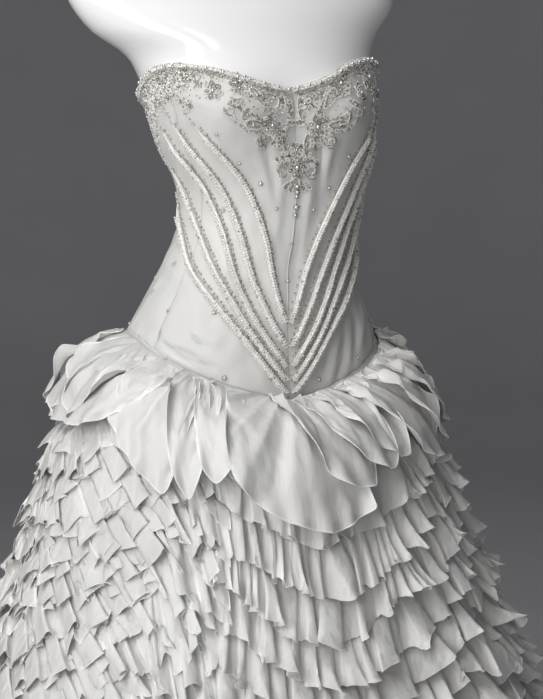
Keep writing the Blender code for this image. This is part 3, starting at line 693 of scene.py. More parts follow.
def crease_relief(angle, height):
    """How far the creases move the cloth out at angles and heights."""
    relief = np.zeros(np.broadcast(angle, height).shape)
    for c in CREASES:
        u = np.radians(wrap(angle - c.angle)) * MEAN_RADIUS
        v = height - c.height
        run_u, run_v = math.radians(c.to_angle - c.angle) * MEAN_RADIUS, c.to_height - c.height
        length = math.hypot(run_u, run_v)
        along = (u * run_u + v * run_v) / length
        off = (u * run_v - v * run_u) / length
        end = np.maximum(np.maximum(-along, along - length), 0) / (3 * c.width)
        middle = np.sin(math.pi * np.clip(along / length, 0, 1))
        relief += c.depth * (0.55 + 0.45 * middle) * np.exp(-((off / c.width) ** 2) - end**2)
    return relief


def drawn_relief(angle, height):
    """The slight unevenness of satin drawn over boning: low waves that differ from place to place."""
    turn = np.radians(angle)
    waves = np.sin(9 * turn + 30 * height) * np.sin(55 * height + 4 * turn)
    return 0.00035 * waves + 0.00025 * np.sin(23 * turn - 70 * height)


def bodice_top(angle, height):
    """How far the bodice's outer face is from the form's skin."""
    return BODICE_OUT + crease_relief(angle, height) + drawn_relief(angle, height)


def build_bodice():
    """Six satin panels with seams that sink in, creases and a turned upper edge."""
    trim = math.degrees(SEAM_GAP / 2 / PANEL_RADIUS)
    shares = 1 - np.linspace(0, 1, PANEL_ROWS)
    for panel in BODICE_PANELS:
        even = np.linspace(-1, 1, round((panel.stop - panel.start) / PANEL_STEP) + 1)
        spread = np.sign(even) * np.abs(even) ** PANEL_CROWDING
        middle, half = (panel.start + panel.stop) / 2, (panel.stop - panel.start) / 2 - trim
        angle, share = np.meshgrid(middle + half * spread, shares)
        height = bodice_height(angle, share)
        from_seam = (half - np.abs(angle - middle)) * math.radians(1) * MEAN_RADIUS
        from_edge = neck_height(angle) - height
        welt = np.exp(-((from_seam / WELT_WIDTH) ** 2)) * np.where(np.abs(angle) < 20, FRONT_WELT, 1.0)
        welt = WELT_DEPTH * (welt + np.exp(-((from_edge / WELT_WIDTH) ** 2)))
        outer = BODICE.at(angle, share, bodice_top(angle, height) - welt)
        obj = add_shell(f"satin_{panel.name}", outer, BODICE.at(angle, share, FIT_GAP), SATIN_CLOTH)
        settle(obj, "satin", f"bodice_{panel.name}")


# --- Beads and stones ---------------------------------------------------------------------------


class Shape(NamedTuple):
    """A small solid: its points and its faces."""

    points: np.ndarray
    faces: np.ndarray


SEED = Shape(
    np.array([(1, 0, 0), (0, 1, 0), (-1, 0, 0), (0, -1, 0), (0, 0, 1), (0, 0, -1)], float),
    np.array([(0, 1, 4), (1, 2, 4), (2, 3, 4), (3, 0, 4), (1, 0, 5), (2, 1, 5), (3, 2, 5), (0, 3, 5)]),
)


def stone_shape():
    """A cut stone: a table, a girdle and a foot, with eight sides."""
    turn = np.arange(8) * math.pi / 4
    rings = [(0.55, 0.75, 0.0), (1.0, 0.15, math.pi / 8), (0.8, -0.5, 0.0)]
    points = [(r * math.cos(t + o), r * math.sin(t + o), z) for r, z, o in rings for t in turn]
    points.append((0, 0, 0.78))
    faces = [(i, (i + 1) % 8, 24) for i in range(8)]
    for ring in (0, 8):
        for i in range(8):
            j = (i + 1) % 8
            faces += [(ring + i, ring + 8 + i, ring + j), (ring + 8 + i, ring + 8 + j, ring + j)]
    return Shape(np.array(points, float), np.array(faces))


STONE = stone_shape()
SEED_LIFT = 0.7  # how far a seed's middle is off the cloth, in its own radii
STONE_LIFT = 0.6
RINGED = 0.0015  # stones larger than this have a ring of seeds
RING_REACH, RING_SEED, RING_LIFT = 1.45, 0.36, 0.3  # of that ring, in the stone's radii
SEED_UNEVEN = (0.85, 1.15)  # shares of a seed's radius
SEED_STRAYS = 0.2  # radii that it strays up or down
# Rows of a teardrop: how far in, the seeds' radius and spacing, and the share of silver ones.
LOOP_ROWS = ((0.0, 0.00140, 0.0024, 0.10), (0.0023, 0.0012, 0.0021, 0.90))
LOOP_FINE = 0.8  # the fineness at which its seeds have those radii
# Rows of a scroll: how far aside, the seeds' spacing and radius, and the share of silver ones.
SCROLL_ROWS = ((-0.0011, 0.0022, 0.00125, 0.15), (0.0011, 0.0020, 0.00110, 0.85))
SCROLL_STONE = 0.0015
SCROLL_CLOSES = 0.68  # the share of a scroll's size that it winds in by
SCROLL_DRIFT = 0.30  # the share that it moves aside as it winds
# Of a flower's petals, in its radii: how far out their middles are, and half their length and width.
FLOWER_PETAL = (0.66, 0.34, 0.25)
FLOWER_SEED = 0.00125
DOUBLE_ROW = (-0.0012, 0.0012)  # how far aside two rows of seeds lie


class Beads:
    """Small things laid on the bodice by angle and height, to be joined into one mesh."""

    def __init__(self):
        self.groups = []

    def add(self, shape, material, angle, height, size, lift=0.0, long=1.0, turn=0.0):
        """Lays copies of a shape: size is a radius and lift how far its middle is off the cloth."""
        angle, height = np.atleast_1d(angle).astype(float), np.atleast_1d(height).astype(float)
        fields = [np.broadcast_to(f, angle.shape) for f in (size, lift, long, turn)]
        self.groups.append((shape, material, angle, height, *fields))

    def take(self, other, lift):
        """Adds what is laid in another, moved off the cloth by a lift."""
        self.groups += [(*g[:5], g[5] + lift, *g[6:]) for g in other.groups]

    def build(self, name, points=(), faces=()):
        """One object of everything laid, round a satin body if there is one."""
        materials = [SATIN_CLOTH] if len(faces) else []
        points, faces, slots = [np.reshape(points, (-1, 3))], list(faces), [0] * len(faces)
        start = len(points[0])
        for shape, material, angle, height, size, lift, long, turn in self.groups:
            if material not in materials:
                materials.append(material)
            place, normal = BODICE.read(angle, bodice_share(angle, height))
            place = place + normal * (bodice_top(angle, height) + lift)[:, None]
            across = np.cross((0, 0, 1.0), normal)
            across /= np.linalg.norm(across, axis=1, keepdims=True)
            up = np.cross(normal, across)
            c, s = np.cos(turn)[:, None], np.sin(turn)[:, None]
            first, second = across * c + up * s, up * c - across * s
            axes = np.stack([first * long[:, None], second, normal], axis=1) * size[:, None, None]
            made = place[:, None] + np.einsum("kc,nca->nka", shape.points, axes)
            points.append(made.reshape(-1, 3))
            starts = start + np.arange(len(angle)) * len(shape.points)
            faces += [list(f) for f in (starts[:, None, None] + shape.faces).reshape(-1, 3)]
            slots += [materials.index(material)] * (len(angle) * len(shape.faces))
            start += len(angle) * len(shape.points)
        sharp = None if materials[0] == SATIN_CLOTH else BEAD_SHARP
        return add_mesh(name, np.concatenate(points), faces, materials, slots, sharp)


def degrees_for(distance, angle, height):
    """The turn, in degrees, that a level distance along the bodice makes."""
    step = on_bodice(angle + 1.0, height, 0.0) - on_bodice(angle, height, 0.0)
    return distance / np.maximum(np.hypot(step[..., 0], step[..., 1]), 1e-4)


def lay_line(beads, angles, heights, spacing, size, rng, rows=(0.0,), silver=0.4):
    """Seed beads along a line of places, in rows to its sides."""
    angles, heights = np.asarray(angles, float), np.asarray(heights, float)
    run = run_along(on_bodice(angles, heights, BODICE_WALL))
    for row in rows:
        at = np.arange(spacing / 2 + rng.uniform(0, spacing), run[-1], spacing)
        if not len(at):
            continue
        angle, height = np.interp(at, run, angles), np.interp(at, run, heights)
        turn, upright = np.ones(1), np.zeros(1)
        if len(at) > 1:
            turn, upright = np.gradient(angle), np.gradient(height)
        level = np.radians(turn) * MEAN_RADIUS
        step = np.maximum(np.hypot(level, upright), 1e-9)
        angle = angle + degrees_for(row * -upright / step, angle, height)
        height = height + row * level / step
        height = height + rng.normal(0, size * SEED_STRAYS, len(at))
        chosen = rng.random(len(at)) < silver
        radius = size * rng.uniform(*SEED_UNEVEN, len(at))
        for material, mask in ((SILVER, chosen), (PEARL, ~chosen)):
            if mask.any():
                place = angle[mask], height[mask]
                beads.add(SEED, material, *place, radius[mask], lift=radius[mask] * SEED_LIFT)


def lay_stone(beads, angle, height, size, rng):
    """A clear stone, in a ring of seed beads unless it is tiny."""
    beads.add(STONE, CRYSTAL, angle, height, size, lift=size * STONE_LIFT, turn=rng.uniform(0, 1))
    if size > RINGED:
        turn = np.arange(8) * math.pi / 4 + rng.uniform(0, 1)
        reach, lift = size * RING_REACH, size * RING_LIFT
        angles = angle + degrees_for(reach * np.cos(turn), angle, height)
        beads.add(SEED, SILVER, angles, height + reach * np.sin(turn), size * RING_SEED, lift=lift)


def beside(angle, height, along, across, turn=0.0):
    """The angle and height at distances along and across a line that turns from level at a place."""
    u = along * math.cos(turn) - across * math.sin(turn)
    v = along * math.sin(turn) + across * math.cos(turn)
    return angle + degrees_for(u, angle, height), height + v


def lay_loop(beads, angle, height, long, wide, turn, rng, fine=LOOP_FINE):
    """A beaded teardrop: a row of larger seeds outside and a row of silver inside; turn in degrees."""
    turn = math.radians(turn)
    t = np.linspace(0.0, 1.0, 60)
    for inset, size, spacing, silver in LOOP_ROWS:
        along = inset * 0.6 + (long - inset) * (1 - np.cos(2 * math.pi * t)) / 2
        across = (wide - 2 * inset) / 2 * np.sin(2 * math.pi * t) * np.sin(math.pi * t) ** 0.5
        places = beside(angle, height, along, across, turn)
        lay_line(beads, *places, spacing, size * fine / LOOP_FINE, rng, silver=silver)
    tip = beside(angle, height, long * 0.62, 0.0, turn)
    beads.add(SEED, CRYSTAL, *tip, wide * 0.14, lift=0.0010, long=1.9, turn=turn)


def lay_flower(beads, angle, height, radius, petals, rng):
    """A beaded flower: a stone in a ring of seeds, and petals outlined in seeds round long crystals."""
    lay_stone(beads, angle, height, radius * 0.22, rng)
    first = rng.uniform(0, 2 * math.pi)
    t = np.linspace(0, 2 * math.pi, 13)[:-1]
    out, half_length, half_width = FLOWER_PETAL
    for i in range(petals):
        turn = first + 2 * math.pi * i / petals
        along, across = radius * (out + half_length * np.cos(t)), radius * half_width * np.sin(t)
        rim = beside(angle, height, along, across, turn)
        beads.add(SEED, PEARL if i % 3 else SILVER, *rim, FLOWER_SEED, lift=0.0009)
        tip = beside(angle, height, radius * 0.64, 0.0, turn)
        middle = CRYSTAL if i % 2 else SILVER
        beads.add(SEED, middle, *tip, radius * 0.13, lift=0.0012, long=2.0, turn=turn)


def lay_scroll(beads, angle, height, size, facing, rng, turns=1.15, lean=0.0):
    """A scroll: a curl of two rows of seeds that winds in to a stone; facing is 1 or -1."""
    t = np.linspace(0, 1, 50)
    reach = size * (1 - SCROLL_CLOSES * t)
    swing = lean + 2 * math.pi * turns * t
    u = facing * (reach * np.sin(swing) + size * SCROLL_DRIFT * t)
    angles, heights = beside(angle, height, u, reach * np.cos(swing))
    for row, spacing, seed, silver in SCROLL_ROWS:
        lay_line(beads, angles, heights, spacing, seed, rng, rows=(row,), silver=silver)
    lay_stone(beads, float(angles[-1]), float(heights[-1]), SCROLL_STONE, rng)


# --- Corded seams -------------------------------------------------------------------------------

ROPE_TURNS = (-62, 0, 62)  # degrees round a corded seam to each row of its rope
ROPE_LEAD = 0.022  # the rope runs on past the top of its seam
ROPE_STEP, ROPE_SEED = 0.0034, 0.00165  # the spacing and the radius of its seeds
LEAD_STEP, LEAD_SEED = 0.0026, 0.00125
VALLEY_STEP, VALLEY_SEED = 0.0046, 0.00085
VALLEY_ASIDE = 0.0050  # from a corded seam to the rows of seeds and stones beside it
STONE_STEP, STONE_STRAYS, SMALL_STONE = 0.0070, 0.0008, 0.0014  # of those stones
CORD_ROUND = 0.95  # the share of its solid's radius that a corded seam's cloth has
CORD_TAPER = 9  # how fast it thickens from its ends, in whole radii for its whole length
TOP_THIN, TIP_THIN = 0.15, 0.45  # the shares of its radius that its ends have


def cord_places(cord, side):
    """Angles and heights down a corded seam; side is 1 for the wearer's left."""
    tip_angle = math.degrees((CORD_RADIUS + SEAM_GAP) / TIP_SPAN)
    knots = (tip_angle, cord.lower_angle, cord.upper_angle, cord.top_angle)
    heights = (cord.tip_height, cord.lower_height, cord.upper_height, cord.top_height)
    angles = np.linspace(cord.top_angle, tip_angle, 110)
    return side * angles, smooth(knots, heights, angles)


def lay_lead(beads, angles, heights, rng):
    """Two rows of seeds from past a seam's top down on to it, where its rope begins."""
    climb, swing = heights[0] - heights[3], angles[0] - angles[3]
    reach = ROPE_LEAD / math.hypot(climb, math.radians(swing) * MEAN_RADIUS)
    lead = np.linspace(1, 0, 6)[:-1] * reach
    angles = np.append(angles[0] + lead * swing, angles)
    heights = np.append(heights[0] + lead * climb, heights)
    lay_line(beads, angles[:14], heights[:14], LEAD_STEP, LEAD_SEED, rng, rows=DOUBLE_ROW, silver=0.2)


def lay_valley(beads, angles, heights, side, rng):
    """A row of fine seeds and a row of stones beside a corded seam."""
    row = -side * VALLEY_ASIDE
    lay_line(beads, angles, heights, VALLEY_STEP, VALLEY_SEED, rng, rows=(row,), silver=0.6)
    t = np.linspace(0, 1, len(angles))
    run = run_length(on_bodice(angles, heights, 0.0))
    where = np.arange(0.004, run - 0.004, STONE_STEP) / run
    where = where + rng.normal(0, STONE_STRAYS / run, len(where))
    level = np.abs(np.gradient(angles)) * MEAN_RADIUS * math.radians(1)
    slope = np.gradient(heights) / np.maximum(level, 1e-6)
    angle, height = np.interp(where, t, angles), np.interp(where, t, heights)
    lean = np.arctan(np.abs(np.interp(where, t, slope)))
    shift = VALLEY_ASIDE * rng.uniform(*SEED_UNEVEN, len(where))
    angle = angle - side * degrees_for(shift * np.sin(lean), angle, height)
    height = height + shift * np.cos(lean)
    inside = (height < neck_height(angle) - 0.01) & (side * angle > 1.0)
    beads.add(STONE, SILVER, angle[inside], height[inside], SMALL_STONE, lift=0.0008)


def build_cords():
    """Five piped seams on each half of the front: a rope of pale seeds on each and stones beside it."""
    rng = np.random.default_rng(11)
    for number, cord in enumerate(CORDS, 1):
        for side, word in ((1, "left"), (-1, "right")):
            angles, heights = cord_places(cord, side)
            t = np.linspace(0, 1, len(angles))
            thin = np.minimum(TOP_THIN + CORD_TAPER * t, TIP_THIN + CORD_TAPER * (1 - t))
            radius = CORD_RADIUS * CORD_ROUND * np.minimum(1.0, thin)
            middle = on_bodice(angles, heights, BODICE_OUT + CORD_GAP + radius * 0.9)
            beads = Beads()
            lay_lead(beads, angles, heights, rng)
            for turn in np.radians(ROPE_TURNS):
                rope = Beads()
                lay_line(rope, angles[8:], heights[8:], ROPE_STEP, ROPE_SEED, rng,
                         rows=(CORD_RADIUS * math.sin(turn),), silver=0.06)
                beads.take(rope, CORD_GAP + CORD_RADIUS * (0.62 + math.cos(turn)))
            lay_valley(beads, angles, heights, side, rng)
            obj = beads.build(f"piped_seam_{number}_{word}", *tube_mesh(middle, radius, 10))
            settle(obj, "beadwork", f"v_cord_{number}_{word}")


# --- Beadwork on the bodice ---------------------------------------------------------------------

EDGE_ROWS = ((0.0026, 0.0026), (0.0010, 0.0046), (-0.0012, 0.0050), (-0.0034, 0.0036))  # aside, lift
EDGE_STEP, EDGE_SEED = 0.0022, 0.00110
EDGE_ROUND = 0.7  # the share of its solid's radius that the edge's cloth has
EDGE_STONE = 0.0022
EDGE_STONES = np.arange(-176, 180, 5.6)  # degrees, about, at which the stones lie


def build_neck_edge():
    """The piped upper edge, thick with seeds, with a stone every so often."""
    rng = np.random.default_rng(21)
    angles = np.arange(-180, 180, 1.5)
    radius = TRIM_RADIUS * EDGE_ROUND
    out = BODICE_OUT + LAY_GAP + radius
    middle = on_bodice(angles, neck_height(angles) - TRIM_RADIUS, out)
    beads = Beads()
    ends = np.append(angles, 180.0)
    for row, lift in EDGE_ROWS:
        line = Beads()
        heights = neck_height(ends) - TRIM_RADIUS
        lay_line(line, ends, heights, EDGE_STEP, EDGE_SEED, rng, rows=(row,), silver=0.35)
        beads.take(line, lift)
    for angle in EDGE_STONES:
        at = angle + rng.uniform(-0.9, 0.9)
        height = float(neck_height(at)) - TRIM_RADIUS * rng.uniform(0.2, 1.2)
        beads.add(STONE, CRYSTAL, at, height, EDGE_STONE, lift=0.0062, turn=rng.uniform(0, 1))
    tube = tube_mesh(middle, radius, 8, closed=True)
    settle(beads.build("neck_edge_beading", *tube), "beadwork", "neck_trim")


# Each on one half of the bust. Flowers: angle, height, radius and petals.
BUST_FLOWERS = (
    (24, 1.249, 0.0140, 7), (12, 1.196, 0.0135, 7), (5, 1.222, 0.0090, 6), (37, 1.238, 0.0115, 7),
    (52, 1.258, 0.0140, 8), (65, 1.242, 0.0120, 7), (78, 1.246, 0.0115, 7), (89, 1.226, 0.0115, 7),
    (53, 1.222, 0.0090, 6), (101, 1.214, 0.0095, 6), (11, 1.176, 0.0080, 6),
)
# Scrolls: angle, height, size, facing (1 winds away from the centre), turns and lean.
BUST_SCROLLS = (
    (12, 1.226, 0.0125, -1, 1.00, 0.6), (22, 1.206, 0.0120, 1, 1.10, 0.2),
    (19, 1.178, 0.0080, 1, 1.00, 2.2), (31, 1.214, 0.0085, 1, 1.00, 0.9),
)
# Teardrops: angle, height, length, width and turn, in degrees from level, away from the centre.
BUST_LOOPS = (
    (2.6, 1.206, 0.026, 0.0110, 84), (14.0, 1.217, 0.030, 0.0120, 56), (16.0, 1.197, 0.026, 0.0130, 4),
    (12.0, 1.186, 0.022, 0.0110, -38), (6.5, 1.188, 0.020, 0.0100, -96), (5.5, 1.200, 0.014, 0.0085, 178),
    (25.0, 1.228, 0.020, 0.0100, -24), (43.0, 1.242, 0.018, 0.0095, 62),
)
# Double rows of beads: the angles and the heights that they run through.
BUST_VINES = (
    ((1.5, 6, 12, 18, 24, 30), (1.214, 1.220, 1.212, 1.203, 1.210, 1.224)),
    ((4, 9, 14, 21, 27, 31), (1.196, 1.187, 1.184, 1.190, 1.193, 1.206)),
    ((2, 8, 14, 21, 29), (1.234, 1.230, 1.236, 1.232, 1.240)),
)
VINE_STEP, VINE_SEED = 0.0024, 0.00135
SHIFT_ASIDE, SHIFT_UP = 0.8, 0.001  # degrees and metres that a flower strays from its place
FIELD_BEADS = 8600
FIELD_ANGLE = 112.0
FIELD_DROP = 0.085
FIELD_STONES = 34
FIELD_LIFT = 0.6
FIELD_SIZES = (0.0008, 0.0015)
FIELD_CRYSTAL = 0.84  # from this share up the scattered seeds are clear
FIELD_STONE_SIZES = (0.0016, 0.0022)


def field_density(angle, drop):
    """How densely small beads are scattered at a drop below the neckline, from 0 to 1."""
    aside = np.clip((np.abs(angle) - 34) / 26, 0, 1)
    reach = 0.010 + 0.026 * aside + 0.036 * np.clip((np.abs(angle) - 76) / 20, 0, 1)
    near_centre = 0.09 * np.exp(-((np.abs(angle) / 30) ** 2)) / (1 + np.exp((drop - 0.056) / 0.004))
    return (0.34 + 0.66 * aside) / (1 + np.exp((drop - reach) / 0.0035)) + near_centre


def scatter_field(beads, side, rng):
    """Seeds and stones scattered below the neckline on one half of the bust."""
    angle = rng.uniform(2, FIELD_ANGLE, FIELD_BEADS)
    drop = rng.uniform(0.004, FIELD_DROP, FIELD_BEADS)
    kept = rng.random(FIELD_BEADS) < field_density(angle, drop)
    angle, drop = side * angle[kept], drop[kept]
    height = neck_height(angle) - drop
    kind = rng.random(len(angle))
    size = rng.uniform(*FIELD_SIZES, len(angle))
    pale = 0.40 + 0.24 * np.clip((np.abs(angle) - 30) / 30, 0, 1)
    clear = kind >= FIELD_CRYSTAL
    for material, mask in ((PEARL, kind < pale), (SILVER, (kind >= pale) & ~clear), (CRYSTAL, clear)):
        beads.add(SEED, material, angle[mask], height[mask], size[mask], lift=size[mask] * FIELD_LIFT,
                  long=rng.uniform(1.0, 1.8, mask.sum()), turn=rng.uniform(0, math.pi, mask.sum()))
    for i in rng.choice(len(angle), FIELD_STONES, replace=False):
        lay_stone(beads, angle[i], height[i], rng.uniform(*FIELD_STONE_SIZES), rng)


def build_bust_beading():
    """Flowers, scrolls, loops and scattered beads on each half of the bust."""
    for side, word, seed in ((1, "left", 31), (-1, "right", 32)):
        rng = np.random.default_rng(seed)
        beads = Beads()
        for angle, height, radius, petals in BUST_FLOWERS:
            angle = side * (angle + rng.uniform(-SHIFT_ASIDE, SHIFT_ASIDE))
            lay_flower(beads, angle, height + rng.uniform(-SHIFT_UP, SHIFT_UP), radius, petals, rng)
        for angle, height, size, facing, turns, lean in BUST_SCROLLS:
            lay_scroll(beads, side * angle, height, size, side * facing, rng, turns, lean)
        for angle, height, long, wide, turn in BUST_LOOPS:
            lay_loop(beads, side * angle, height, long, wide, turn if side > 0 else 180 - turn, rng)
        for angles, heights in BUST_VINES:
            along = np.linspace(angles[0], angles[-1], 70)
            lay_line(beads, side * along, smooth(angles, heights, along), VINE_STEP, VINE_SEED, rng,
                     rows=DOUBLE_ROW, silver=0.35)
        scatter_field(beads, side, rng)
        settle(beads.build(f"bust_beading_{word}"), "beadwork", f"bust_applique_{word}")


# The height and the size of each stone in the line below the cluster.
PENDANT_DROPS = ((1.124, 0.0028), (1.1175, 0.0024), (1.112, 0.0020), (1.099, 0.0026), (1.090, 0.0020))


def build_pendant():
    """The beaded cluster at the centre front, with drops below it."""
    rng = np.random.default_rng(41)
    beads = Beads()
    lay_flower(beads, 0.0, 1.147, 0.0140, 9, rng)
    lay_flower(beads, 0.3, 1.168, 0.0095, 8, rng)
    for side in (1, -1):
        lay_scroll(beads, side * 8.6, 1.143, 0.0095, side, rng, 1.15, 2.4)
        lay_flower(beads, side * 6.2, 1.160, 0.0068, 6, rng)
        lay_flower(beads, side * 10.4, 1.153, 0.0060, 6, rng)
        lay_loop(beads, side * 1.6, 1.134, 0.0165, 0.0085, -90 + side * 24, rng, 0.7)
        lay_loop(beads, side * 4.0, 1.130, 0.0130, 0.0075, -90 + side * 46, rng, 0.7)
        lay_loop(beads, side * 3.6, 1.166, 0.0120, 0.0070, 90 - side * 50, rng, 0.7)
    for height, size in PENDANT_DROPS:
        lay_stone(beads, rng.uniform(-0.4, 0.4), height, size, rng)
    settle(beads.build("pendant_beading"), "beadwork", "pendant_applique")


STONE_SIZES = (0.0015, 0.0022)
PIPING_RADIUS, PIPING_SINKS = 0.0011, 0.0002  # of the centre front seam
# Single stones: the angle and height of each.
STONES = (
    (-76, 1.030), (-63, 0.975), (-36, 0.975), (-98, 0.955), (-78, 0.930), (-55, 0.905), (-27, 0.898),
    (14, 0.892), (38, 0.914), (-12, 1.098), (12, 1.096), (-22, 1.128), (22, 1.122), (-32, 1.152),
    (33, 1.160), (-40, 1.186), (-62, 1.176), (58, 1.170), (0, 1.056), (0, 1.012), (-46, 1.096),
    (-86, 0.995), (64, 0.955), (88, 1.000), (46, 1.000), (-112, 1.010), (112, 1.010), (-134, 1.060),
    (134, 1.070), (-150, 0.985), (150, 0.985), (-160, 1.110), (160, 1.120), (-120, 1.120), (120, 1.130),
    (-96, 1.100), (104, 0.965), (170, 1.040), (-170, 1.040),
)


def build_scattered_stones():
    """Single stones sewn here and there, and the fine line of the centre front seam."""
    rng = np.random.default_rng(51)
    beads = Beads()
    for angle, height in STONES:
        lay_stone(beads, angle, height, rng.uniform(*STONE_SIZES), rng)
    settle(beads.build("scattered_stones"), "beadwork")

    heights = np.linspace(1.118, 0.972, 120)
    angles = 0.25 * np.sin(heights * 90)
    middle = on_bodice(angles, heights, bodice_top(angles, heights) - PIPING_SINKS)
    points, faces = tube_mesh(middle, PIPING_RADIUS, 8)
    settle(add_mesh("centre_front_piping", points, faces, [SATIN_CLOTH]), "satin")


# --- The closing --------------------------------------------------------------------------------

PLACKET_WALL = 0.0014
PLACKET_RISE = 0.0012  # of its face along the middle
PLACKET_FALL = 0.0006  # towards its edges
PLACKET_WAVE = 0.00025
PULL_THICKNESS = 0.0016
PULL_HALF = (0.0025, 0.0069)  # half its width and half its height
PULL_SQUARE = 0.7  # from an oval, at 1, towards an oblong, at 0
PULL_HOLE = (0.0011, 0.0016)
PULL_HOLE_UP = 0.0040


def build_closure():
    """The lapped placket, and the zip's pull with its hole."""
    share = np.linspace(PLACKET_TOP, PLACKET_FOOT, 130)
    turn, share = np.meshgrid(np.linspace(-1, 1, 17), share)
    angle = 180 + PLACKET_HALF_ANGLE * turn
    height = bodice_height(angle, share)
    wave = PLACKET_WAVE * np.sin(height * 260 + 2 * turn) * (1 - turn**2)
    top = np.maximum(bodice_top(angle, height), BODICE_OUT) + LAY_GAP
    outer = BODICE.at(angle, share, top + PLACKET_RISE - PLACKET_FALL * np.abs(turn) ** 6 + wave)
    placket = add_shell("lapped_placket", outer, BODICE.at(angle, share, top), SATIN_CLOTH)
    settle(placket, "satin", "back_placket")

    angle = np.array([180.0])
    height = bodice_height(angle, PLACKET_TOP) - PULL_LENGTH
    turn = np.linspace(0, 2 * math.pi, 32, endpoint=False)
    flat = np.zeros(len(turn))
    c, s = np.cos(turn), np.sin(turn)
    wide, tall = (half * np.sign(v) * np.abs(v) ** PULL_SQUARE for half, v in zip(PULL_HALF, (c, s)))
    outline = np.stack([wide, flat, tall], -1)
    hole = np.stack([PULL_HOLE[0] * c, flat, PULL_HOLE_UP + PULL_HOLE[1] * s], -1)
    place, normal = (v[0] for v in BODICE.read(angle, bodice_share(angle, height)))
    out = BODICE_OUT + LAY_GAP + PLACKET_WALL + LAY_GAP + 0.0002
    rings = [place + ring + normal * (out + lift) for ring, lift in (
        (outline, 0.0), (outline, PULL_THICKNESS), (hole, PULL_THICKNESS), (hole, 0.0))]
    pull = add_mesh("zip_pull_tab", rings, looped_faces(4, len(turn)), [STEEL], sharp=METAL_SHARP)
    settle(pull, "steel", "zip_pull")


# --- The skirt ----------------------------------------------------------------------------------

GORE_RADIUS = 0.105  # the underskirt's at its seam, to turn a seam's gap into degrees
GORE_GRID = (26, 22)  # columns and rows
GORE_FACES = (0.0004, 0.0015)  # how far in the outer and the inner face lie
GORE_FOLD_DEPTH = 0.0004


def build_underskirt():
    """Four gores of plain cloth with soft upright folds, just inside the line that carries the tiers."""
    trim = math.degrees(SEAM_GAP / 2 / GORE_RADIUS)
    for panel in SKIRT_PANELS:
        angles = np.linspace(panel.start + trim, panel.stop - trim, GORE_GRID[0])
        angle, share = np.meshgrid(angles, np.linspace(0, 1, GORE_GRID[1]))
        turn = np.radians(angle)
        deep = np.sin(math.pi * np.minimum(share * 1.15, 1.0))
        folds = GORE_FOLD_DEPTH * (np.sin(17 * turn + 1.2 * np.sin(3 * turn)) * deep)
        outer, inner = (UNDERSKIRT.at(angle, share, folds - within) for within in GORE_FACES)
        obj = add_shell(f"underskirt_gore_{panel.name}", outer, inner, LINING_CLOTH)
        settle(obj, "underskirt", f"underskirt_{panel.name}")


# One pleat across: shares of its width and of its depth. A box pleat's face overhangs its sides, a
# flute is nearly closed behind and a knife pleat lies over to one side.
BOX = np.array((
    (0.00, 0.00), (0.10, 0.06), (0.20, 0.00), (0.25, 0.24), (0.20, 0.62), (0.17, 0.93), (0.24, 1.03),
    (0.38, 1.00), (0.54, 0.99), (0.70, 1.03), (0.79, 0.95), (0.77, 0.64), (0.71, 0.26), (0.76, 0.01),
    (0.85, 0.06), (0.93, 0.04),
))
FLUTE = np.array((
    (0.00, 0.00), (0.10, 0.02), (0.20, 0.10), (0.27, 0.28), (0.26, 0.50), (0.22, 0.72), (0.27, 0.91),
    (0.40, 1.02), (0.58, 1.02), (0.71, 0.91), (0.77, 0.72), (0.74, 0.50), (0.73, 0.28), (0.79, 0.10),
    (0.87, 0.02), (0.94, 0.00),
))
KNIFE = np.array((
    (0.00, 0.10), (0.08, 0.04), (0.18, 0.10), (0.28, 0.30), (0.38, 0.52), (0.50, 0.72), (0.64, 0.90),
    (0.78, 1.02), (0.92, 1.06), (1.00, 0.98), (0.97, 0.82), (0.86, 0.62), (0.76, 0.42), (0.72, 0.24),
    (0.79, 0.12), (0.90, 0.10),
))
TAB = np.array((
    (0.00, 0.00), (0.14, 0.30), (0.34, 0.62), (0.60, 0.86), (0.86, 1.00), (1.02, 0.98), (1.01, 0.50),
    (0.98, 0.10),
))
DOWN = (0.0, 0.10, 0.27, 0.46, 0.65, 0.82, 0.94, 1.0)
TIER_SPAN = 1 - TIER_LENGTH - TIER_START  # from the first tier's head to the last one's
NARROW_CHANCE = 0.12  # of a run of narrow pleats beginning at a pleat
NARROW_SHARE = 0.42  # of a whole pleat's width
NARROW_RUN = (4, 9)  # from so many narrow pleats to one fewer than so many
WIDTH_STEPS = (-0.45, -0.2, 0.0, 0.3, 0.7)  # by which the others' widths differ
WANDER_KNOTS = 40  # places round the skirt where a strip strays from its line
WANDER = 0.0040  # metres
GROUP = 6  # pleats, about, that are long or short together
# How much pleats differ: in metres that they stand off, tilt and bow, and in shares of their width
# that they drift and shear aside.
STAND_SPREAD, TILT_SPREAD, BOW_SPREAD = 0.0028, 0.0075, 0.0030
DRIFT_SPREAD, SHEAR_SPREAD = 0.13, 0.15
LENGTH_SPREAD, GROUP_SPREAD = 0.8, 0.6  # of one pleat and of a group, in their zone's unevenness
ODD_LONGER = 0.6  # how much longer the pleats of every second tier are, in the same measure
LONGER_LIMITS = (-0.05, 0.5)  # shares of a pleat's length
KNIVES_MIRRORED, TABS_MIRRORED = 0.35, 0.4  # shares
FLARED = 0.35  # the share of the pleats whose hem curls out
CURL_SPREAD = 0.0030
CALM = 0.3  # the least share of that unevenness, at the first tier under the petals
RIPPLE_DEPTH = 0.0060  # of the small waves along a flute's hem
RIPPLE_PACES = (5.0, 10.0)  # radians across a pleat
CRUMPLE_DEPTH = 0.0008
TIER_ROLL = 0.0005
TABS_FROM, TABS_TO = -152.0, -24.0  # degrees where each ruffle carries a row of small tabs as well
TAB_PITCH = 0.026
TAB_TOP = 0.16  # shares of a ruffle's length from its head
TAB_DROP = 0.46
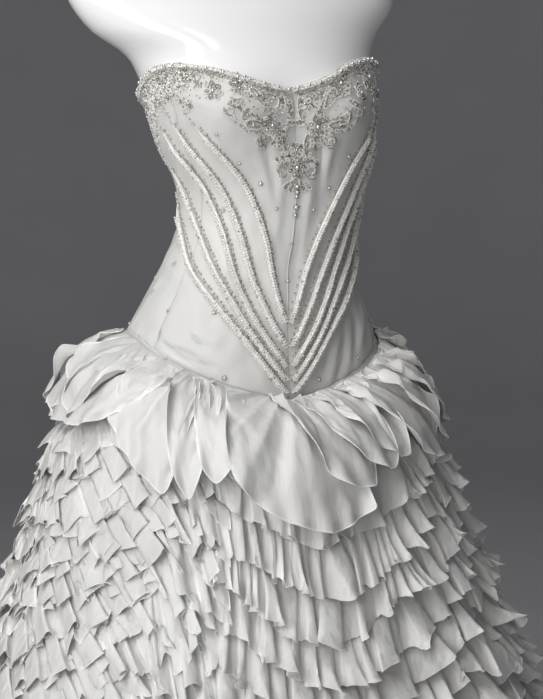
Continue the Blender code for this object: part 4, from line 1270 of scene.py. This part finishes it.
TAB_DOWN = (0.0, 0.3, 0.6, 0.87, 1.0)
TAB_FADES = 8  # degrees over which the row's ends sink back
TAB_SPREADS = (0.20, 0.0012, 0.0020, 0.10, 0.0034)  # of length, lift, bow, slant and twist
PETALS_COVER = 4  # tiers that lie under the petals, and keep flat below them


class Zone(NamedTuple):
    """How the ruffles look at an angle."""

    angle: float
    pitch: float  # metres of strip for a pleat
    depth: float
    box: float  # the share of box pleats, as against flutes and knife pleats
    fall: float  # metres that a pleat hangs aside, towards the wearer's left, in a metre down
    hem: float  # metres that a pleat's own hem rises in a metre towards the wearer's left
    uneven: float  # how much the lengths differ from pleat to pleat
    curl: float  # how far a few of the flutes flare out at the hem
    stand: float  # how far the hem stands off the underskirt, between the pleats' faces and valleys


ZONES = tuple(Zone(*row) for row in (
    (-180, 0.050, 0.015, 0.5, 0.00, 0.00, 0.08, 0.006, 0.019),
    (-145, 0.045, 0.015, 0.6, 0.30, 0.25, 0.08, 0.006, 0.020),
    (-105, 0.033, 0.008, 0.9, 1.25, 1.10, 0.10, 0.003, 0.022),
    (-60, 0.031, 0.009, 0.9, 1.25, 1.15, 0.14, 0.003, 0.016),
    (-42, 0.034, 0.012, 0.7, 0.60, 0.35, 0.14, 0.005, 0.015),
    (-20, 0.030, 0.016, 0.35, 0.00, -0.30, 0.20, 0.008, 0.015),
    (0, 0.029, 0.021, 0.2, -0.10, -0.30, 0.32, 0.014, 0.015),
    (26, 0.027, 0.021, 0.1, -0.10, 0.45, 0.36, 0.018, 0.015),
    (65, 0.028, 0.019, 0.1, -0.10, 0.35, 0.30, 0.014, 0.017),
    (110, 0.040, 0.016, 0.4, 0.05, 0.00, 0.10, 0.007, 0.020),
    (180, 0.050, 0.015, 0.5, 0.00, 0.00, 0.08, 0.006, 0.019),
))


def zone_value(field, angle):
    """A value of the zones at angles."""
    return smooth([z.angle for z in ZONES], [getattr(z, field) for z in ZONES], wrap(angle))


def tier_top(tier, angle):
    """Where a tier is sewn on at angles, as a share of the skirt's height."""
    last = 1 - TIER_LENGTH
    level = TIER_START + tier * TIER_SPAN / (TIERS - 1)
    grows = SWAG_TOP + (1 - SWAG_TOP) * (level - TIER_START) / (SWAG_FULL - TIER_START)
    fades = (last - level) / (last - SWAG_FADES)
    return level - smooth(*zip(*SWAGS), wrap(angle)) * min(grows, fades, 1.0) / skirt_height(angle)


def soft_noise(rng, shape, passes):
    """Random heights that have been evened out with their neighbours, about one unit high."""
    noise = rng.normal(0, 1, shape)
    for _ in range(passes):
        noise = (np.roll(noise, 1, 1) + noise + np.roll(noise, -1, 1)) / 3
        padded = np.concatenate([noise[:1], noise, noise[-1:]])
        noise = (padded[:-2] + padded[1:-1] + padded[2:]) / 3
    return noise / noise.std()


def crumples(rng, rows, count, columns):
    """Soft noise down and across each pleat, which runs on from one pleat to the next."""
    return soft_noise(rng, (rows, count * columns), 1).reshape(rows, count, columns)


def strip_line(tier, rng):
    """The line that a ruffle is sewn along, as a function of the angle: its tier's, with some wander."""
    knots = np.linspace(-180, 180, WANDER_KNOTS + 1)
    stray = rng.normal(0, WANDER, WANDER_KNOTS)
    stray = np.append(stray, stray[0])

    def line(angle):
        rounder = 1.35 - np.clip(zone_value("box", angle), 0, 1)
        return tier_top(tier, angle) + smooth(knots, stray, wrap(angle)) * rounder / skirt_height(angle)

    return line


def pleat_edges(line, rng):
    """The angles at which a strip's pleats begin, all round."""
    probe = np.arange(-180, 180.1, 2.0)
    run = run_along(UNDERSKIRT.at(probe, line(probe), 0.01))
    edges, narrow = [0.0], 0
    while edges[-1] < run[-1]:
        at = np.interp(edges[-1], run, probe)
        box = zone_value("box", at)
        if narrow == 0 and rng.random() < NARROW_CHANCE * (1.3 - box):
            narrow = rng.integers(*NARROW_RUN)
        narrow = max(narrow - 1, 0)
        share = NARROW_SHARE if narrow else 1.05 + rng.choice(WIDTH_STEPS) * (1.2 - box)
        edges.append(edges[-1] + float(zone_value("pitch", at)) * share * rng.uniform(0.92, 1.08))
    edges = np.array(edges) * run[-1] / edges[-1]
    return np.interp(edges, run, probe) + rng.uniform(0, 5)


def hanging(line, head, off_middle, out):
    """How cloth hangs from places on a strip's line, at degrees off the middles of their pleats.

    Gives the skirt's radius there, the degrees that a ruffle falls aside and the step in its hem, as a
    share of the skirt's height.
    """
    place = UNDERSKIRT.at(head, line(head), out)
    radius = np.hypot(place[..., 0], place[..., 1])
    tall, degree = skirt_height(head), math.radians(1.0) * radius
    rise = -(line(head + 1) - line(head - 1)) * tall / (2 * degree)
    step = (zone_value("hem", head) - rise) * off_middle * degree / tall
    return radius, np.degrees(zone_value("fall", head) * TIER_LENGTH * tall / radius), step


def either_way(profile, mirrored_share, count, rng):
    """A profile for each pleat, some of them mirrored."""
    mirrored = profile[::-1] * (-1, 1) + (1, 0)
    return np.where(rng.random((count, 1, 1)) < mirrored_share, mirrored, profile)


def tab_row(line, fullness, rng):
    """The row of small tabs that is sewn over a ruffle where it runs over the wearer's right hip."""
    probe = np.arange(TABS_FROM, TABS_TO + 0.1, 1.0)
    run = run_along(UNDERSKIRT.at(probe, line(probe), 0.02))
    count = round(run[-1] / TAB_PITCH)
    edges = np.cumsum(rng.uniform(0.75, 1.3, count + 1))
    edges = np.interp((edges - edges[0]) / (edges[-1] - edges[0]) * run[-1], run, probe)
    width = np.diff(edges)[:, None]
    tabs = either_way(TAB, TABS_MIRRORED, count, rng)
    x, y = tabs[..., 0], 0.5 + (tabs[..., 1] - 0.5) * rng.uniform(0.3, 1.3, (count, 1))
    head, side, full = edges[:-1, None] + width * x, (x - 0.5) * 2, np.clip(y, 0, 1)
    _, fall, step = hanging(line, head, (x - 0.5) * width, 0.02)
    longer, lift, bow, slant, twist = (rng.normal(0, spread, (count, 1)) for spread in TAB_SPREADS)
    crumple = crumples(rng, len(TAB_DOWN), count, len(TAB))
    ends = np.clip(np.minimum(head - TABS_FROM, TABS_TO - head) / TAB_FADES, 0, 1)
    rows = []
    for row, t in enumerate(TAB_DOWN):
        at = TAB_TOP + TAB_DROP * t * (1 + longer + slant * side)
        share = line(head) + TIER_LENGTH * at - step * t * full * 0.9
        under = TIER_GAP + zone_value("stand", head) * fullness * at**0.45 + 0.0050 * at**0.7
        out = 0.0014 + 0.0014 * t + (y - 0.5) * 0.0048 * t**0.6 + np.maximum(lift, -0.003) * t
        out = out + bow * math.sin(math.pi * t) + twist * side * t + CRUMPLE_DEPTH * crumple[row]
        rows.append(UNDERSKIRT.at(head + fall * at, share, under + ends * out).reshape(-1, 3))
    return np.array(rows)


def build_tier(tier):
    """A ruffle: a strip of pleats that runs all round, uneven in width, stand, length and lean."""
    rng = np.random.default_rng(100 + tier)
    line = strip_line(tier, rng)
    edges = pleat_edges(line, rng)
    start, width = edges[:-1, None], np.diff(edges)[:, None]
    count = len(start)
    box = np.clip(zone_value("box", start), 0, 1)
    kind = rng.random((count, 1, 1))
    knives = either_way(KNIFE, KNIVES_MIRRORED, count, rng)
    profiles = np.where(kind < box[..., None] * 0.5, BOX, np.where(kind < 0.5, FLUTE, knives))
    mix = rng.uniform(0, 0.3, (count, 1, 1))
    x, y = np.moveaxis(profiles * (1 - mix) + FLUTE * mix, -1, 0)
    full = np.clip(y, 0, 1)

    def each(spread):
        return rng.normal(0, 1, (count, 1)) * spread

    depth = zone_value("depth", start) * rng.uniform(0.6, 1.35, (count, 1))
    rounder = 1 - box
    loose = 0.35 + 0.65 * np.clip(rounder * 1.4, 0, 1)
    stand, tilt = each(STAND_SPREAD) * loose, each(TILT_SPREAD) * loose
    drift, shear = each(DRIFT_SPREAD), each(SHEAR_SPREAD)
    knots = np.arange(0, count + GROUP, GROUP)
    groups = np.interp(np.arange(count), knots, rng.normal(0, GROUP_SPREAD, len(knots)))[:, None]
    longer = each(LENGTH_SPREAD) + groups + (ODD_LONGER if tier % 2 else 0.0)
    longer = np.clip(zone_value("uneven", start) * longer, *LONGER_LIMITS)
    slant, bow = each(0.05 + 0.05 * rounder), each(BOW_SPREAD) * loose
    flared = (rng.random((count, 1)) < FLARED) * zone_value("curl", start)
    curl = np.abs(each(CURL_SPREAD)) + flared * rng.uniform(0.6, 1.4, (count, 1))
    if tier < PETALS_COVER:
        calm = CALM + (1 - CALM) * tier / PETALS_COVER
        stand, tilt, curl, longer = stand * calm, tilt * calm, curl * calm, np.minimum(longer, 0.0)
        depth = depth * (0.6 + 0.4 * tier / PETALS_COVER)
    fullness = min(1.0, 0.92 + 0.02 * tier)
    crumple = crumples(rng, len(DOWN), count, len(BOX))

    head = start + width * x
    ripple = rng.normal(0, 1, (count, 1)).cumsum(axis=0) * 0.9
    ripple = ripple + x * rng.uniform(*RIPPLE_PACES, (count, 1))
    rippled = np.clip(rounder * 1.25, 0, 1) * rng.uniform(0.2, 1.0, (count, 1)) * RIPPLE_DEPTH * full
    top = line(head)
    radius, fall, step = hanging(line, head, (x - 0.5) * width, 0.01)
    below = tier_top(min(tier + 1, TIERS - 1), head + fall) - tier_top(tier, head)
    long = TIER_LENGTH * np.clip(below * (TIERS - 1) / TIER_SPAN + 0.04, 1.0, 1.9)
    face = (x - 0.5) * full * 2
    tucked = np.clip(1 - y / 0.45, 0, 1)
    swing = stand + tilt * face + depth * np.maximum(longer, 0)
    rows = []
    for row, t in enumerate(DOWN):
        opened = t**0.7
        aside = fall * t + width * (drift * t**1.5 + shear * opened) * full
        aside = aside + np.degrees(rippled * np.cos(ripple) / radius) * t**3
        reach = 1 + longer * (1 - tucked) + slant * face - (0.03 + 0.04 * rounder) * tucked
        share = top + long * t * reach - step * t * full + 0.0007 * crumple[-1 - row] * t
        out = TIER_GAP + 0.0006 + zone_value("stand", head) * fullness * t ** (0.40 + 0.45 * rounder)
        out = out + (y - 0.35) * depth * opened + swing * t
        bend = curl * t**4 + bow * np.sin(math.pi * t)
        out = out + bend * full + CRUMPLE_DEPTH * crumple[row] * opened
        out = np.maximum(out + rippled * np.sin(ripple) * t**3, TIER_GAP + 0.0004 + 0.0035 * t)
        rows.append(UNDERSKIRT.at(head + aside, share, out).reshape(-1, 3))
    grid, tabs = np.array(rows), tab_row(line, fullness, rng)
    name = f"pleated_ruffle_{tier + 1:02d}"
    obj = add_sheet(name, [grid, tabs], TAFFETA_CLOTH, (True, False), TIER_ROLL, 3)
    settle(obj, "taffeta", f"ruffle_tier_{tier + 1:02d}")
    strip = float(np.mean([run_length(np.concatenate([row, row[:1]])) for row in grid]))
    strip += float(np.mean([run_length(row) for row in tabs])) * TAB_DROP


# --- The petals ---------------------------------------------------------------------------------

LEAF_PUFF = ((0.0, 0.018, 0.045, 0.080, 0.115, 0.160), (0.0, 0.50, 0.90, 1.0, 0.98, 0.94))
LEAF_STAND = 0.023
LEAF_LEAN = 0.24  # how much more the lobes stand off at the wearer's right than at the left
LAYER_SPREAD = 0.0082
LEAF_ACROSS = 56
LEAF_DOWN = 40
LEAF_ROLL = 0.0007
HEAD_ABOVE = 0.010  # how far above its head a leaf's folds would meet
NEAR_RADIUS = 0.20  # of the skirt at the petals
LEAF_CRUMPLES = ((0.0003, 2), (0.0012, 12))  # the depth of each and how often it is evened out
FLIP_DEPTH = 0.0065  # of a lobe's side edges
WAVE_DEPTH = 0.0040  # of its hem
FOLD_DEPTHS = (0.0082, 0.0048, 0.0019)  # of a lobe's main, minor and fine folds
FOLD_PACES = (0.62, 1.7, 3.9)  # of each kind, against the lobe's own number of folds


class Leaf(NamedTuple):
    """One lobe of a petal: its place and outline, and where along its head its folds meet."""

    petal: int
    angle: float
    half_span: float
    length: float
    skew: float
    first_side: float
    second_side: float
    tip: float  # where across the lobe it is longest
    point: float  # from a round end to a pointed one
    pole: float
    folds: float
    lift: float  # layers above the cloth at its first side
    tilt: float  # layers that it sinks by towards its second side
    neck: float = 0.66  # the share of its width at its head


LEAVES = tuple(Leaf(*row) for row in (
    (1, -142, 20, 0.112, -6, 0.55, 0.30, 0.0, 0.4, 0.2, 4.0, 0.1, 0.3),
    (1, -116, 19, 0.126, -6, 0.70, 0.45, -0.3, 0.3, 0.4, 4.5, 1.3, 0.2),
    (2, -98, 22, 0.130, -10, 0.65, 0.55, -0.4, 0.4, 0.8, 5.0, -0.1, -0.4),
    (2, -82, 22, 0.120, -7, 0.60, 0.45, -0.2, 0.6, 0.9, 5.0, 0.1, -0.5),
    (3, -66, 24, 0.112, -7, 0.50, 0.30, -0.2, 0.7, 0.98, 7.0, 0.4, -0.6),
    (3, -50, 13, 0.138, 2, 0.62, 0.25, 0.6, 0.85, 0.9, 5.0, 0.8, -0.4, 0.55),
    (4, -40, 8, 0.136, 4, 0.30, 0.25, 0.3, 0.8, 0.0, 3.0, 1.5, 0.3, 0.55),
    (4, -31, 9, 0.112, 3, 0.22, 0.45, 0.1, 0.7, 0.0, 3.0, 1.3, 0.4, 0.55),
    (5, -25, 9, 0.104, 2, 0.25, 0.45, 0.1, 0.6, 0.2, 3.0, 1.1, 0.7, 0.55),
    (5, -8, 19, 0.148, 1, 0.40, 0.90, 0.45, 0.15, 0.25, 8.0, 2.6, 1.0, 0.30),
    (6, 0, 13, 0.112, 4, 0.16, 0.60, 0.75, 0.45, -0.5, 4.0, 3.4, 2.2, 0.48),
    (6, 10, 12, 0.102, 3, 0.14, 0.55, 0.75, 0.45, -0.6, 3.5, 3.4, 2.3, 0.48),
    (7, 18, 12, 0.098, 2, 0.14, 0.50, 0.75, 0.50, -0.6, 3.5, 3.3, 2.3, 0.48),
    (7, 33, 17, 0.128, 6, 0.14, 0.60, 0.70, 0.40, -0.6, 4.5, 2.8, 2.1, 0.48),
    (8, 45, 15, 0.130, 7, 0.14, 0.55, 0.70, 0.50, -0.5, 4.0, 2.7, 2.1, 0.48),
    (8, 58, 16, 0.132, 8, 0.16, 0.55, 0.60, 0.50, -0.5, 4.0, 2.3, 1.9, 0.48),
    (9, 70, 16, 0.116, 7, 0.16, 0.55, 0.50, 0.45, -0.5, 4.5, 1.8, 1.8, 0.48),
    (9, 84, 16, 0.104, 6, 0.18, 0.60, 0.40, 0.40, -0.5, 4.5, 1.6, 1.7, 0.48),
    (10, 98, 16, 0.094, 6, 0.20, 0.60, 0.40, 0.40, -0.5, 4.5, 1.0, 0.8),
    (10, 115, 17, 0.090, 5, 0.22, 0.60, 0.30, 0.40, -0.4, 4.0, 0.8, 0.6),
    (11, 132, 18, 0.106, 4, 0.25, 0.60, 0.30, 0.45, -0.3, 4.5, 0.9, 0.6),
    (11, 152, 18, 0.098, 3, 0.30, 0.55, 0.20, 0.40, -0.2, 4.0, 0.7, 0.5),
    (12, 173, 19, 0.110, 2, 0.30, 0.55, 0.10, 0.45, -0.1, 4.5, 0.6, 0.4),
    (12, 197, 20, 0.102, -3, 0.50, 0.30, -0.2, 0.40, 0.1, 4.5, 0.3, -0.3),
))


def leaf_folds(leaf, angle, drop, phase):
    """The relief of a lobe's folds, which spread from a place above its head."""
    aside = np.radians(angle - leaf.angle - leaf.pole * leaf.half_span * 0.66) * NEAR_RADIUS
    turn = np.arctan2(aside, drop + HEAD_ABOVE)
    far = np.hypot(aside, drop + HEAD_ABOVE)
    bent = turn + 0.10 * np.sin(5 * turn + phase[0]) + 0.9 * (far - 0.05) * math.sin(phase[5] * 2)
    main, minor, fine = (np.abs(np.sin(leaf.folds * pace * bent + shift))
                         for pace, shift in zip(FOLD_PACES, phase[1:4]))
    deep, shallow, faint = FOLD_DEPTHS
    fading = np.exp(-((np.maximum(far - 0.05, 0) / 0.070) ** 2))
    relief = deep * (main - 0.64) * np.minimum(far / 0.060, 1.2)
    relief = relief + shallow * (0.5 - minor**0.8) * np.minimum(far / 0.030, 1.0) * fading
    return relief + faint * (0.5 - fine**0.8) * np.exp(-((far / 0.080) ** 2))


def leaf_grid(leaf, rng):
    """The points of a lobe: folds that spread from its head, a crumpled face and a hem that waves."""
    across = np.sin(np.linspace(-math.pi / 2, math.pi / 2, LEAF_ACROSS))
    across, down = np.meshgrid(across, np.linspace(0, 1, LEAF_DOWN) ** 0.9)
    ends = leaf.first_side + (leaf.second_side - leaf.first_side) * (across + 1) / 2
    aside = np.abs(across - leaf.tip) / np.where(across < leaf.tip, 1 + leaf.tip, 1 - leaf.tip)
    outline = (1 - leaf.point) * np.sqrt(np.maximum(1 - aside**2, 0)) + leaf.point * (1 - aside**1.4)
    drop = PETAL_HEAD + (leaf.length * (ends + (1 - ends) * outline) - PETAL_HEAD) * down
    opened = np.minimum(down / (0.25 + 0.30 * leaf.neck), 1)
    spread = leaf.neck + (1 - leaf.neck) * opened * (2 - opened)
    angle = leaf.angle + leaf.half_span * across * spread + leaf.skew * down**1.3

    phase = rng.uniform(0, math.pi, 6)
    relief = leaf_folds(leaf, angle, drop, phase)
    for depth, passes in LEAF_CRUMPLES:
        relief = relief + depth * soft_noise(rng, across.shape, passes)
    layer = leaf.lift - leaf.tilt * (across + 1) / 2
    stand = LEAF_STAND * (1 - LEAF_LEAN * np.sin(np.radians(angle))) + layer * LAYER_SPREAD
    edge = np.maximum(np.abs(across) - 0.72, 0) / 0.28
    flip = FLIP_DEPTH * edge**2 * (0.70 + np.sin(2 * math.pi * (1.3 * down + phase[4] / math.pi))) * down
    wave = np.sin(math.pi * (leaf.folds * 0.6 + 1) * (across + 1) + phase[4])
    hem = WAVE_DEPTH * wave * down**5 + 0.002 * down**3
    least = PETAL_GAP + 0.0004
    out = least + np.maximum(layer, 0) * PETAL_LAYER_STEP + smooth(*LEAF_PUFF, drop - PETAL_HEAD) * stand
    out = out + np.minimum(down / 0.08, 1.0) * relief + flip + hem
    return UNDERSKIRT.at(angle, drop / skirt_height(angle), np.maximum(out, least + 0.003 * down))


def build_petals():
    """The petals, each one cut with two lobes."""
    for number in range(1, PETALS + 1):
        rng = np.random.default_rng(200 + number)
        grids = [leaf_grid(leaf, rng) for leaf in LEAVES if leaf.petal == number]
        name = f"flounce_petal_{number:02d}"
        obj = add_sheet(name, grids, PETAL_CLOTH, [False] * len(grids), LEAF_ROLL, 4)
        settle(obj, "taffeta", f"petal_{number:02d}")


# --- Stage, lights and camera -------------------------------------------------------------------

CAMERA_AZIMUTH = -21.5
CAMERA_ELEVATION = 6.0
CAMERA_DISTANCE = 2.4
CAMERA_TARGET = (0.0, 0.0, 0.918)
FRAME_PIXELS_HIGH = 699
METRES_PER_PIXEL = 0.00126  # at the camera's target
SENSOR_HEIGHT = 24.0
LIGHTS_TARGET = (0, 0, 0.85)
CHEST_TARGET = (0, 0, 1.46)
# The radius and height of the floor's rings, which run up into the backdrop.
FLOOR = (
    (0.001, 0.0), (2.0, 0.0), (4.5, 0.0), (5.6, 0.15), (6.4, 0.65), (6.8, 1.5), (7.0, 3.0), (7.0, 6.0),
)
FLOOR_DROP = 0.0005  # of the floor below the base


def place_facing(obj, azimuth, elevation, distance, target):
    """Puts an object round a target, at angles round the gown and up, and turns it to face it."""
    a, e = math.radians(azimuth), math.radians(elevation)
    away = Vector((math.sin(a) * math.cos(e), -math.cos(a) * math.cos(e), math.sin(e)))
    obj.location = Vector(target) + away * distance
    obj.rotation_euler = (-away).to_track_quat("-Z", "Y").to_euler()
    bpy.context.scene.collection.objects.link(obj)


def build_camera():
    """The camera at the picture's viewing angle."""
    camera = bpy.data.cameras.new("camera")
    camera.sensor_fit = "VERTICAL"
    camera.sensor_height = SENSOR_HEIGHT
    camera.lens = SENSOR_HEIGHT * CAMERA_DISTANCE / (FRAME_PIXELS_HIGH * METRES_PER_PIXEL)
    obj = bpy.data.objects.new("camera", camera)
    place_facing(obj, CAMERA_AZIMUTH, CAMERA_ELEVATION, CAMERA_DISTANCE, CAMERA_TARGET)
    bpy.context.scene.camera = obj


def build_lights():
    """A key and a top light from the left, a low fill, a rim, a spot on the chest and a grey surround."""
    for name, azimuth, elevation, distance, size, power in (
        ("key", -60, 20, 3.1, 2.2, 53),
        ("top", -50, 58, 3.0, 1.6, 29),
        ("fill", -30, 4, 3.6, 1.6, 17),
        ("rim", 150, 40, 3.4, 1.6, 3),
    ):
        light = bpy.data.lights.new(name, "AREA")
        light.shape = "DISK"
        light.size = size
        light.energy = power
        place_facing(bpy.data.objects.new(name, light), azimuth, elevation, distance, LIGHTS_TARGET)
    chest = bpy.data.lights.new("chest", "SPOT")
    chest.spot_size = math.radians(17)
    chest.spot_blend = 1.0
    chest.shadow_soft_size = 0.3
    chest.energy = 44
    place_facing(bpy.data.objects.new("chest", chest), -8, 14, 3.0, CHEST_TARGET)
    world = bpy.data.worlds.new("surround")
    world.use_nodes = True
    world.node_tree.nodes["Background"].inputs["Color"].default_value = (0.80, 0.82, 0.86, 1)
    world.node_tree.nodes["Background"].inputs["Strength"].default_value = 0.09
    bpy.context.scene.world = world
    bpy.context.scene.view_settings.view_transform = "Standard"


def build_stage():
    """A plain pale floor that runs up into a plain backdrop all round."""
    turn = np.linspace(0, 2 * math.pi, 96, endpoint=False)
    points = [(r * math.cos(t), r * math.sin(t), z - FLOOR_DROP) for r, z in FLOOR for t in turn]
    faces = [list(q)[::-1] for q in grid_quads(len(FLOOR), len(turn), True)]
    material = hard_material("pale_floor", (0.56, 0.56, 0.57), (0.54, 0.54, 0.55), 0.7, 0.0, 3.0, 0.0001)
    add_mesh("floor", points, faces, [material])


build_form()
build_bodice()
build_cords()
build_neck_edge()
build_bust_beading()
build_pendant()
build_scattered_stones()
build_closure()
build_underskirt()
for each_tier in range(TIERS):
    build_tier(each_tier)
build_petals()
build_camera()
build_lights()
build_stage()

bpy.context.view_layer.update()
